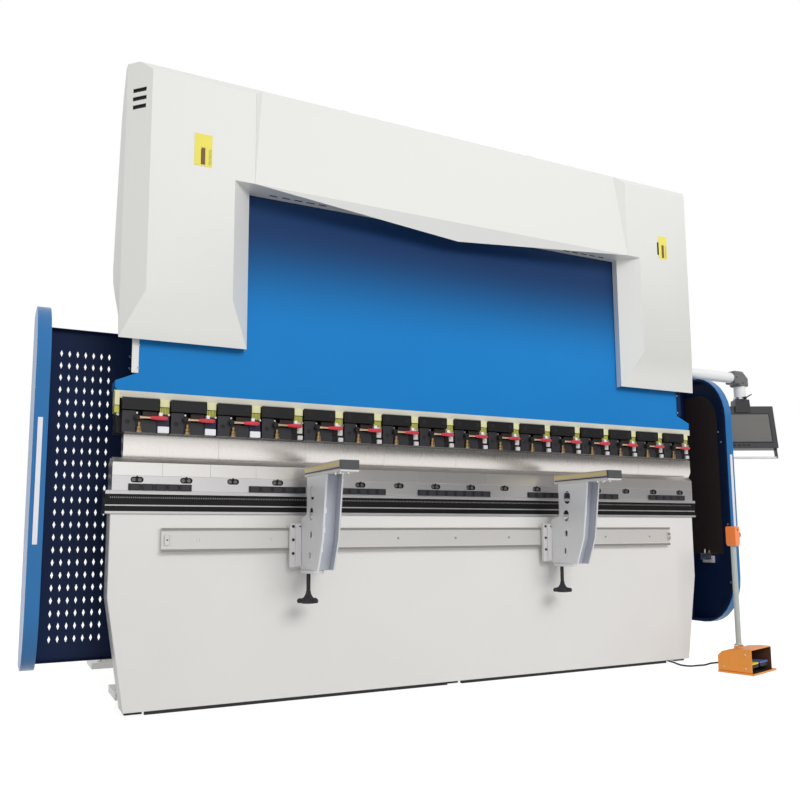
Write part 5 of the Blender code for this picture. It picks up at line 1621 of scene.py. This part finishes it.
class PressBrakeAddSupports(bpy.types.Operator):
    """The two sliding sheet supports with their carriages and star knobs"""
    bl_idname = "press_brake.add_supports"
    bl_label = "Sheet supports"

    def execute(self, context):
        for word in ("left", "right"):
            self.carriage(word)
            self.arm(word)
            self.knob(word)
        return {"FINISHED"}

    def carriage(self, word):
        low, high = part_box("support_carriage_" + word)
        made = Piece("carriage_" + word + "_plate")
        left = low.x + 0.011
        made.box((left, high.x), (low.y, high.y), (low.z, high.z), "carriage_paint", 0.0020)
        made.box((left + 0.023, left + 0.050), (low.y - 0.0050, low.y - SKIN),
                 (low.z + 0.004, high.z - 0.004), "carriage_paint", 0.0014)
        for z in (high.z - 0.014, high.z - 0.072, high.z - 0.131):
            made.screw((left + 0.014, low.y, z), FRONT, 0.0062, "black_plastic")
        made.screw((left + 0.044, low.y - 0.0050, high.z - 0.014), FRONT, 0.0035,
                   "black_plastic")
        made.done("carriage_" + word, "support_paint", "support_carriage_" + word)

    def arm(self, word):
        x0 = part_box("support_arm_" + word)[0].x + 0.020
        x1 = x0 + 0.082
        wall = SHEET
        made = Piece("support_" + word + "_arm")
        side_outline = [(-0.0945, 0.562), (-0.0945, 0.780), (-0.160, 0.800), (-0.160, 0.9605),
                        (-0.381, 0.9605), (-0.340, 0.690), (-0.286, 0.562)]
        cheek = loose("cheek", rounded(plate_part(side_outline, "x", x0, x0 + wall), 0.0008))
        holes = [[(y + v, z + u) for u, v in stadium((0.0, 0.0), *size)]
                 for y, z, *size in CHEEK_HOLES]
        mesh = cut_away(cheek, loose("cheek_holes", slots_part(holes, "x", x0 - 0.02,
                                                               x0 + 0.02)))
        made.add(pour(mesh), "support_paint")
        made.plate(side_outline, "x", x1 - 0.006, x1 - 0.002, "support_paint", 0.0008)
        # Painted shade: the inner cheek and web of the channel take a grey for the shade inside
        # the arm.
        lining = [(-0.160, 0.9580), (-0.379, 0.9580), (-0.338, 0.690), (-0.287, 0.566),
                  (-0.160, 0.566)]
        made.plate(lining, "x", x1 - 0.0075, x1 - 0.0062, "channel_grey", 0.0)
        front = [(-0.381, 0.9605), (-0.340, 0.690), (-0.286, 0.562), (-0.282, 0.562),
                 (-0.336, 0.691), (-0.377, 0.9605)]
        made.plate(front, "x", x0 + 0.001, x0 + 0.009, "support_paint", 0.0006)
        made.plate(front, "x", x1 - 0.009, x1 - 0.003, "support_paint", 0.0006)
        inner = [(y + 0.050, z) for y, z in front]
        made.plate(inner, "x", x0 + 0.003, x1 - 0.008, "channel_grey", 0.0)
        for y, z in ((-0.352, 0.800), (-0.337, 0.720), (-0.312, 0.640)):
            made.box((x0 + 0.008, x0 + 0.016), (y, y + 0.004), (z, z + 0.022),
                     "tab_white", 0.001)
        made.box((x0 + 0.001, x1 - 0.003), (-0.160, -0.0945), (0.7760, 0.7800),
                 "support_paint", 0.0004)
        self.table(made, word, x0, x1)
        self.sole(made, x0)
        made.done("support_" + word, "support_paint", "support_arm_" + word)

    def table(self, made, word, x0, x1):
        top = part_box("support_arm_" + word)[1].z
        back, front = -0.129, -0.534
        made.box((x0, x1), (front + 0.0130, back), (0.9680, top), "support_top", 0.0012)
        made.box((x0, x1), (front, front + 0.0126), (0.9700, top), "cap_grey", 0.0020)
        made.box((x0, x1), (front + 0.004, back), (0.9612, 0.9690), "carriage_paint", 0.0010)
        made.box((x0 - 0.0010, x0 + 0.0010), (front + 0.014, back - 0.004), (0.9850, 1.0010),
                 "gold_strip", 0.0004)
        made.box((x0 - 0.0007, x0 + 0.0010), (front + 0.014, back - 0.004), (0.9730, 0.9790),
                 "clamp_brown", 0.0003)
        for x in (x0 + 0.022, x0 + 0.056):
            for y in (-0.430, -0.480):
                made.turned([(0.0, 0.008), (0.005, 0.007), (0.006, 0.0), (0.0, 0.0)],
                            (x, y, 0.9613), (0, 0, -1), "bright_steel", 10)
        # Dark discs on the top: painted shade for its holes.
        for y in (-0.200, -0.300, -0.400):
            made.turned([(0.0, 0.0004), (0.0065, 0.0004), (0.0070, 0.0), (0.0, 0.0)],
                        (x0 + 0.041, y, top - 0.0001), UP, "vent_dark", 14)

    def sole(self, made, x0):
        outline = stadium((x0 + 0.025, -0.167), 0.090, 0.0895, 12)
        outline = [(x, -0.167 + (y + 0.167) * 1.60) for x, y in outline]
        made.plate(outline, "z", 0.5480, 0.5612, "carriage_paint", 0.0012)
        made.turned([(0.0, 0.012), (0.0105, 0.012), (0.0125, 0.010), (0.0125, 0.0),
                     (0.0, 0.0)], (x0 + 0.012, -0.155, 0.5612), UP, "bright_steel", 16)
        # The dark disc on the stud is painted shade for its socket.
        made.turned([(0.0, 0.004), (0.0085, 0.004), (0.0105, 0.0), (0.0, 0.0)],
                    (x0 + 0.012, -0.155, 0.5732), UP, "vent_dark", 16)

    def knob(self, word):
        low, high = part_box("support_knob_" + word)
        x, y = (low.x + high.x) * 0.5, (low.y + high.y) * 0.5
        made = Piece("knob_" + word + "_star")
        made.rod((x, y, 0.455), (x, y, high.z), 0.0088, "black_plastic", sides=16)
        made.turned([(0.0, 0.052), (0.010, 0.052), (0.012, 0.040), (0.020, 0.026),
                     (0.032, 0.018), (0.034, 0.006), (0.028, 0.0), (0.0, 0.0)],
                    (x, y, low.z), UP, "black_plastic", 24)
        lobes = 5
        for i in range(lobes):
            angle = math.tau * i / lobes + 0.3
            spot = (x + 0.033 * math.cos(angle), y + 0.033 * math.sin(angle), low.z + 0.001)
            made.turned([(0.0, 0.021), (0.009, 0.020), (0.0145, 0.015), (0.0155, 0.008),
                         (0.0120, 0.001), (0.0, 0.0)], spot, UP, "black_plastic", 14)
        made.done("knob_" + word, "black_plastic", "support_knob_" + word)


# ---------------------------------------------------------------- pendant
class PressBrakeAddPendant(bpy.types.Operator):
    """Pendant arm and its control head"""
    bl_idname = "press_brake.add_pendant"
    bl_label = "Control pendant"

    def execute(self, context):
        self.arm()
        self.head()
        return {"FINISHED"}

    def arm(self):
        y, z = PENDANT_DROP.y, 1.700
        x = PENDANT_DROP.x
        made = Piece("pendant_boom")
        made.rod((1.470, y, z), (x - 0.070, y, z), 0.034, "tube_white", sides=40)
        made.turned([(0.0223, 0.098), (0.046, 0.098), (0.048, 0.096), (0.048, 0.002),
                     (0.046, 0.0), (0.0223, 0.0), (0.0223, 0.098)],
                    (1.500, 0.200, z - 0.0497), UP, "tube_white", 36)
        made.box((1.480, 1.520), (0.130, 0.176), (z - 0.030, z + 0.030), "tube_white", 0.004)
        elbow = plate_part([(x - 0.082, z - 0.040), (x - 0.046, z - 0.040),
                            (x - 0.040, z - 0.056), (x + 0.040, z - 0.056),
                            (x + 0.040, z - 0.002), (x - 0.008, z + 0.042),
                            (x - 0.082, z + 0.042)], "y", y - 0.040, y + 0.040)
        made.add(elbow, "elbow_grey", 0.009, steps=4)
        for dx, dz in ((-0.066, 0.0), (-0.014, -0.036)):
            made.screw((x + dx, y - 0.0400, z + dz), FRONT, 0.0045, "pendant_dark")
        made.turned([(0.0203, 0.100), (0.036, 0.100), (0.036, 0.016), (0.0203, 0.016),
                     (0.0203, 0.100)], (x, y, 1.5600), UP, "tube_white", 40)
        made.turned([(0.0203, 0.016), (0.041, 0.016), (0.043, 0.014), (0.043, 0.004),
                     (0.041, 0.002), (0.0203, 0.002), (0.0203, 0.016)],
                    (x, y, 1.5600), UP, "bright_steel", 40)
        made.turned([(0.0, 0.016), (0.006, 0.016), (0.008, 0.012), (0.008, 0.0), (0.0, 0.0)],
                    (x - 0.012, y - 0.041, 1.568), FRONT, "black_plastic", 16)
        made.rod((x - 0.012, y - 0.050, 1.566), (x + 0.040, y - 0.056, 1.592), 0.0046,
                 "black_plastic", tip=0.0032, sides=12)
        made.done("pendant", "pendant_paint", "pendant_arm")

    def head(self):
        turn = Matrix.Translation(PENDANT_DROP) @ Matrix.Rotation(PENDANT_YAW, 4, "Z")
        face = turn @ Matrix.Translation((0.0, -0.012, -0.186)) @ Matrix.Rotation(
            -PENDANT_TILT, 4, "X")
        made = Piece("pendant_head")
        shell = box_part((-0.198, 0.198), (-0.030, 0.034), (-0.140, 0.140))
        made.add(shell, "pendant_grey", 0.005, face, steps=3)
        for x, y, z, paint, edge in (
                ((-0.197, 0.197), (-0.0340, -0.0290), (-0.139, 0.139), "pendant_grey", 0.002),
                ((-0.160, 0.168), (-0.0352, -0.0338), (-0.106, 0.090), "pendant_dark", 0.0006),
                ((-0.152, 0.160), (-0.0362, -0.0350), (-0.099, 0.083), "screen", 0.0005)):
            made.box(x, y, z, paint, edge, face)
        for i in range(6):
            x = -0.150 + 0.030 * i
            made.box((x, x + 0.018), (-0.0356, -0.0338), (-0.128, -0.116), "pendant_dark",
                     0.0012, face)
        # Dark slots along the head's sides: painted shade for the vents' hollows.
        for i in range(5):
            z = 0.070 - 0.022 * i
            made.box((-0.1985, 0.1985), (0.004, 0.022), (z, z + 0.004), "vent_dark", 0.0, face)
        neck = plate_part([(-0.052, -0.085), (0.052, -0.085), (0.044, -0.0003),
                           (-0.044, -0.0003)], "y", -0.038, 0.044)
        made.add(neck, "pendant_grey", 0.006, turn, steps=3)
        made.rod((0.0, 0.0, -0.030), (0.0, 0.0, 0.050), 0.020, "bright_steel", sides=24,
                 place=turn)
        for x in (-0.190, 0.190):
            made.box((x - 0.006, x + 0.006), (-0.012, 0.012), (-0.198, -0.136),
                     "pendant_grey", 0.002, face)
        made.box((-0.200, 0.200), (-0.0085, 0.0085), (-0.2015, -0.1935), "tube_white", 0.002,
                 face)
        made.box((-0.196, 0.196), (-0.012, 0.030), (-0.1935, -0.1905), "tube_white", 0.001,
                 face)
        made.done("control_head", "pendant_paint", "control_head")


# ---------------------------------------------------------------- foot station
class PressBrakeAddStation(bpy.types.Operator):
    """Foot station: hood, two pedals, post and stop button"""
    bl_idname = "press_brake.add_station"
    bl_label = "Foot station"

    def execute(self, context):
        self.hood()
        self.pedals()
        self.post()
        return {"FINISHED"}

    def hood(self):
        made = Piece("station_hood")
        half, front, rear = 0.118, -0.085, STATION_REAR
        outer = [(front, 0.0095), (front, 0.126), (-0.030, 0.125), (0.030, 0.118),
                 (0.068, 0.106), (rear, 0.084), (rear, 0.0095)]
        shell = loose("hood_shell", rounded(plate_part(outer, "x", -half, half), 0.004))
        space = [(front - 0.05, -0.02), (front - 0.05, 0.1225), (-0.030, 0.1215),
                 (0.028, 0.1145), (0.065, 0.103), (rear - 0.004, 0.082), (rear - 0.004, -0.02)]
        hollow = loose("hood_space", plate_part(space, "x", -half + 0.004, half - 0.004))
        part = pour(cut_away(shell, hollow))

        # Painted shade: the hood's inner faces take a dark brown copy of the orange, for the shade
        # under the hood.
        middle = Vector((0.0, 0.01, 0.05))
        for face in part.faces:
            turned_in = face.normal.dot(face.calc_center_median() - middle) < 0.0
            inside = turned_in and face.normal.y > -0.5
            face.material_index = made.slot("hood_inside" if inside else "orange_paint")
        bmesh.ops.transform(part, matrix=STATION, verts=part.verts)
        pour(as_mesh(part), made.mesh)
        made.box((-half - 0.004, half + 0.030), (front - 0.010, rear), (0.0, 0.0095),
                 "orange_paint", 0.0015, STATION)
        made.box((-half + 0.006, half - 0.006), (front - 0.006, rear - 0.006),
                 (0.0097, 0.0107), "rubber_black", 0.0, STATION)
        made.turned([(0.0, 0.030), (0.021, 0.030), (0.024, 0.024), (0.026, 0.0), (0.0, 0.0)],
                    (0.058, 0.056, 0.088), UP, "orange_paint", 24, STATION)
        made.rod((-half + 0.002, 0.050, 0.030), (half - 0.002, 0.050, 0.030), 0.005,
                 "bright_steel", sides=12, place=STATION)
        for y, z in ((-0.055, 0.030), (-0.055, 0.100), (0.060, 0.030)):
            for side in (-1, 1):
                made.screw((side * half, y, z), (side, 0, 0), 0.0048, place=STATION)
        made.done("machine_frame", "orange_paint", "foot_housing")

    def pedals(self):
        outline = [(-0.072, 0.030), (-0.070, 0.052), (0.030, 0.046), (0.050, 0.041),
                   (0.060, 0.030), (0.050, 0.020), (0.036, 0.026)]
        for x, word, top in ((-0.056, "left", "pedal_yellow"), (0.056, "right", "pedal_blue")):
            made = Piece("pedal_" + word + "_plate")
            made.plate(outline, "x", x - 0.047, x + 0.047, "rubber_black", 0.002, STATION)
            made.plate([(-0.0715, 0.046), (-0.0700, 0.0545), (0.026, 0.0485), (0.026, 0.044)],
                       "x", x - 0.048, x + 0.048, top, 0.0015, STATION)
            for i in range(5):
                y = -0.062 + 0.017 * i
                z = 0.0540 - 0.0625 * (y + 0.070)
                made.box((x - 0.040, x + 0.040), (y - 0.0025, y + 0.0025),
                         (z - 0.001, z + 0.0014), top, 0.0007, STATION)
            made.done("pedal_" + word, top, "pedal_" + word)

    def post(self):
        at = Vector((0.058, 0.056, 0.0))
        made = Piece("stop_column")
        made.rod(at + Vector((0, 0, 0.1183)), at + Vector((0, 0, 0.645)), 0.014, "post_grey",
                 sides=28, place=STATION)
        made.turned([(0.0, 0.012), (0.015, 0.012), (0.017, 0.008), (0.023, 0.006),
                     (0.023, 0.0), (0.0, 0.0)], at + Vector((0, 0, 0.1183)), UP,
                    "bright_steel", 24, STATION)
        half = 0.0270
        head = plate_part([(-half, 0.658), (-0.018, 0.640), (0.018, 0.640), (half, 0.658),
                           (half, 0.738), (0.022, 0.745), (-0.022, 0.745),
                           (-half, 0.738)], "y", -half, half)
        made.add(head, "stop_orange", 0.006, STATION @ Matrix.Translation(at), steps=3)
        made.turned([(0.0, 0.0070), (0.0215, 0.0070), (0.0230, 0.0), (0.0, 0.0)],
                    at + Vector((half + 0.0002, 0, 0.700)), RIGHT, "pedal_yellow", 28,
                    STATION)
        made.turned([(0.0, 0.002), (0.004, 0.002), (0.0045, 0.0), (0.0, 0.0)],
                    at + Vector((0.0, -half, 0.727)), FRONT, "pendant_dark", 14, STATION)
        made.done("machine_frame", "orange_paint", "stop_post")
        made = Piece("stop_mushroom")
        made.turned([(0.0, 0.0300), (0.0080, 0.0295), (0.0150, 0.0270), (0.0190, 0.0225),
                     (0.0200, 0.0165), (0.0190, 0.0130), (0.0160, 0.0115), (0.0100, 0.0110),
                     (0.0100, -0.0200), (0.0, -0.0200)],
                    at + Vector((0.0350, 0, 0.700)), RIGHT, "button_red", 32, STATION)
        made.done("stop_button", "button_red", "stop_button")


# ---------------------------------------------------------------- rear of the machine
class PressBrakeAddRear(bpy.types.Operator):
    """Side frames, cylinders, tank, motor, cabinet and back gauge"""
    bl_idname = "press_brake.add_rear"
    bl_label = "Frame and rear"

    def execute(self, context):
        self.frames()
        self.cylinders()
        self.tank()
        self.motor()
        self.cabinet()
        self.gauge()
        return {"FINISHED"}

    def frames(self):
        for new_name, name in (("frame_plate_left", "side_frame_left"),
                               ("frame_plate_right", "side_frame_right"),
                               ("rear_tie", "rear_beam"), ("deck_plate", "tank_deck")):
            carry(new_name, name)
        for word, side in (("left", -1), ("right", 1)):
            for name, y in (("front", 0.335), ("rear", 1.255)):
                screw_row("foot_bolts_%s_%s" % (name, word), UP, 0.012, 2,
                          (side * 1.200, y, 0.0335), (side * 0.260, 0.0, 0.0))

    def cylinders(self):
        for word, side in (("left", -1), ("right", 1)):
            carry("ram_cylinder_" + word, "cylinder_" + word, "cylinder_black",
                  "dark_cylinder", edge=0.001)
            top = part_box("cylinder_" + word)[1].z
            x, y = side * 1.330, -0.010
            grow("cylinder_bolts_" + word, "ring_of_parts",
                 turned_part([(0.0, 0.012), (0.008, 0.012), (0.009, 0.010), (0.009, 0.0),
                              (0.0, 0.0)], (0, 0, 0), UP, 6),
                 "bright_steel", "machine_frame", "ground_steel", (), Count=8, Radius=0.085,
                 Centre=Vector((x, y, top)), Tilt=Vector((0.0, 0.0, 0.0)))
            made = Piece("hydraulic_block_" + word)
            made.box((x - 0.035, x + 0.035), (y - 0.035, y + 0.035),
                     (top + 0.0003, top + 0.070), "bright_steel", 0.003)
            made.turned([(0.0, 0.050), (0.012, 0.050), (0.014, 0.046), (0.014, 0.0),
                         (0.0, 0.0)], (x, y + 0.035, top + 0.040), (0, 1, 0),
                        "cylinder_black", 18)
            made.done("machine_frame", "dark_cylinder")
            carry("chrome_rod_" + word, "piston_rod_" + word, "chrome", "rod_chrome",
                  "ram_beam", 0.0008)

    def tank(self):
        carry("tank_box", "oil_tank", "tank_paint", "blue_paint", edge=0.003)
        low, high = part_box("oil_tank")
        made = Piece("tank_fittings")
        made.turned([(0.0, 0.050), (0.030, 0.050), (0.038, 0.042), (0.040, 0.010),
                     (0.046, 0.008), (0.046, 0.0), (0.0, 0.0)],
                    (-0.700, 0.600, high.z + 0.0002), UP, "black_plastic", 28)
        made.box((0.080, 0.120), (high.y + SKIN, high.y + 0.014), (2.150, 2.320),
                 "bright_steel", 0.003)
        made.box((0.092, 0.108), (high.y + 0.014, high.y + 0.017), (2.165, 2.305),
                 "screen", 0.001)
        made.turned([(0.0, 0.016), (0.016, 0.016), (0.018, 0.012), (0.018, 0.0), (0.0, 0.0)],
                    (-0.800, high.y, 2.080), (0, 1, 0), "brass", 6)
        lid = 0.0035
        made.box((-0.560, 0.180), (low.y + 0.080, high.y - 0.080),
                 (high.z + SKIN, high.z + lid), "tank_paint", 0.001)
        made.done("machine_frame", "blue_paint")
        for name, y in (("tank_lid_screws", low.y + 0.100),
                        ("tank_lid_screws_rear", high.y - 0.100)):
            screw_row(name, UP, 0.0070, 8, (-0.540, y, high.z + lid + 0.0002),
                      (0.1, 0.0, 0.0))

    def motor(self):
        carry("motor_body", "pump_motor", "motor_paint", "dark_cylinder")
        centre = Vector((0.720, 0.720, 2.0303 + 0.1455))
        fin = rounded(box_part((-0.002, 0.011), (-0.0016, 0.0016), (-0.095, 0.095)), 0.0006)
        grow("motor_fins", "ring_of_parts", fin, "motor_paint", "machine_frame", "dark_cylinder",
             (), Count=36, Radius=0.1118, Centre=centre - Vector((0.125, 0.0, 0.0)),
             Tilt=Vector((0.0, math.radians(90.0), 0.0)))
        made = Piece("motor_box")
        made.box((0.560, 0.650), (0.670, 0.770), (centre.z + 0.108, centre.z + 0.165),
                 "motor_paint", 0.004)
        made.done("machine_frame", "dark_cylinder")

    def cabinet(self):
        carry("cabinet_shell", "electrical_cabinet", edge=0.0012)
        carry("cabinet_front_door", "cabinet_door", body="cabinet_door", edge=0.0012)
        low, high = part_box("cabinet_door")
        made = Piece("cabinet_lock")
        made.box((high.x - 0.004, high.x + 0.004), (low.y + 0.022, low.y + 0.048),
                 (1.176, 1.304), "black_plastic", 0.002)
        made.turned([(0.0, 0.005), (0.008, 0.005), (0.009, 0.0), (0.0, 0.0)],
                    (high.x + 0.004, low.y + 0.035, 1.195), RIGHT, "bright_steel", 16)
        made.done("cabinet_door", "black_plastic")
        # The door's vents are dark plates: painted shade for the slots' hollows.
        row("cabinet_vents", rounded(plate_part(stadium((0.0, 0.0), 0.160, 0.006, 4), "x",
                                                -0.0002, 0.0003), 0.0),
            "vent_dark", "cabinet_door", "black_plastic", 8,
            (high.x - 0.012 + 0.0003, (low.y + high.y) * 0.5, low.z + 0.060),
            (0.0, 0.0, 0.014))

    def gauge(self):
        carry("gauge_crossbar", "gauge_beam", "rail_metal", "rail_aluminium", "back_gauge")
        for word in ("left", "right"):
            carry("gauge_stop_" + word, "gauge_finger_" + word, "cap_grey", "black_steel",
                  "finger_" + word)


# ---------------------------------------------------------------- panel and registration
STEPS = (PressBrakeSetStage, PressBrakeAddCord, PressBrakeAddCovers, PressBrakeAddBed,
         PressBrakeAddDies, PressBrakeAddRam, PressBrakeAddClamps, PressBrakeAddLevers,
         PressBrakeAddGuards, PressBrakeAddSupports, PressBrakeAddPendant,
         PressBrakeAddStation, PressBrakeAddRear)
GROUPS = {"press_brake_sizes": PressBrakeSizes, "press_brake_stage": PressBrakeStage,
          "press_brake_colours": PressBrakeColours}


class VIEW3D_PT_press_brake(bpy.types.Panel):
    """Lists the steps that dress the press brake"""
    bl_label = "Press brake"
    bl_space_type = "VIEW_3D"
    bl_region_type = "UI"
    bl_category = "Press brake"

    def draw(self, context):
        for step in STEPS:
            self.layout.operator(step.bl_idname)
        for label in GROUPS:
            group = getattr(context.scene, label)
            for name in group.__annotations__:
                self.layout.prop(group, name)


CLASSES = (*GROUPS.values(), *STEPS, VIEW3D_PT_press_brake)


def register():
    for made in CLASSES:
        bpy.utils.register_class(made)
    for name, group in GROUPS.items():
        setattr(bpy.types.Scene, name, bpy.props.PointerProperty(type=group))


def unregister():
    for name in GROUPS:
        delattr(bpy.types.Scene, name)
    for made in reversed(CLASSES):
        bpy.utils.unregister_class(made)


def main():
    register()
    for step in STEPS:
        group, name = step.bl_idname.split(".")
        getattr(getattr(bpy.ops, group), name)()


if __name__ == "__main__":
    main()
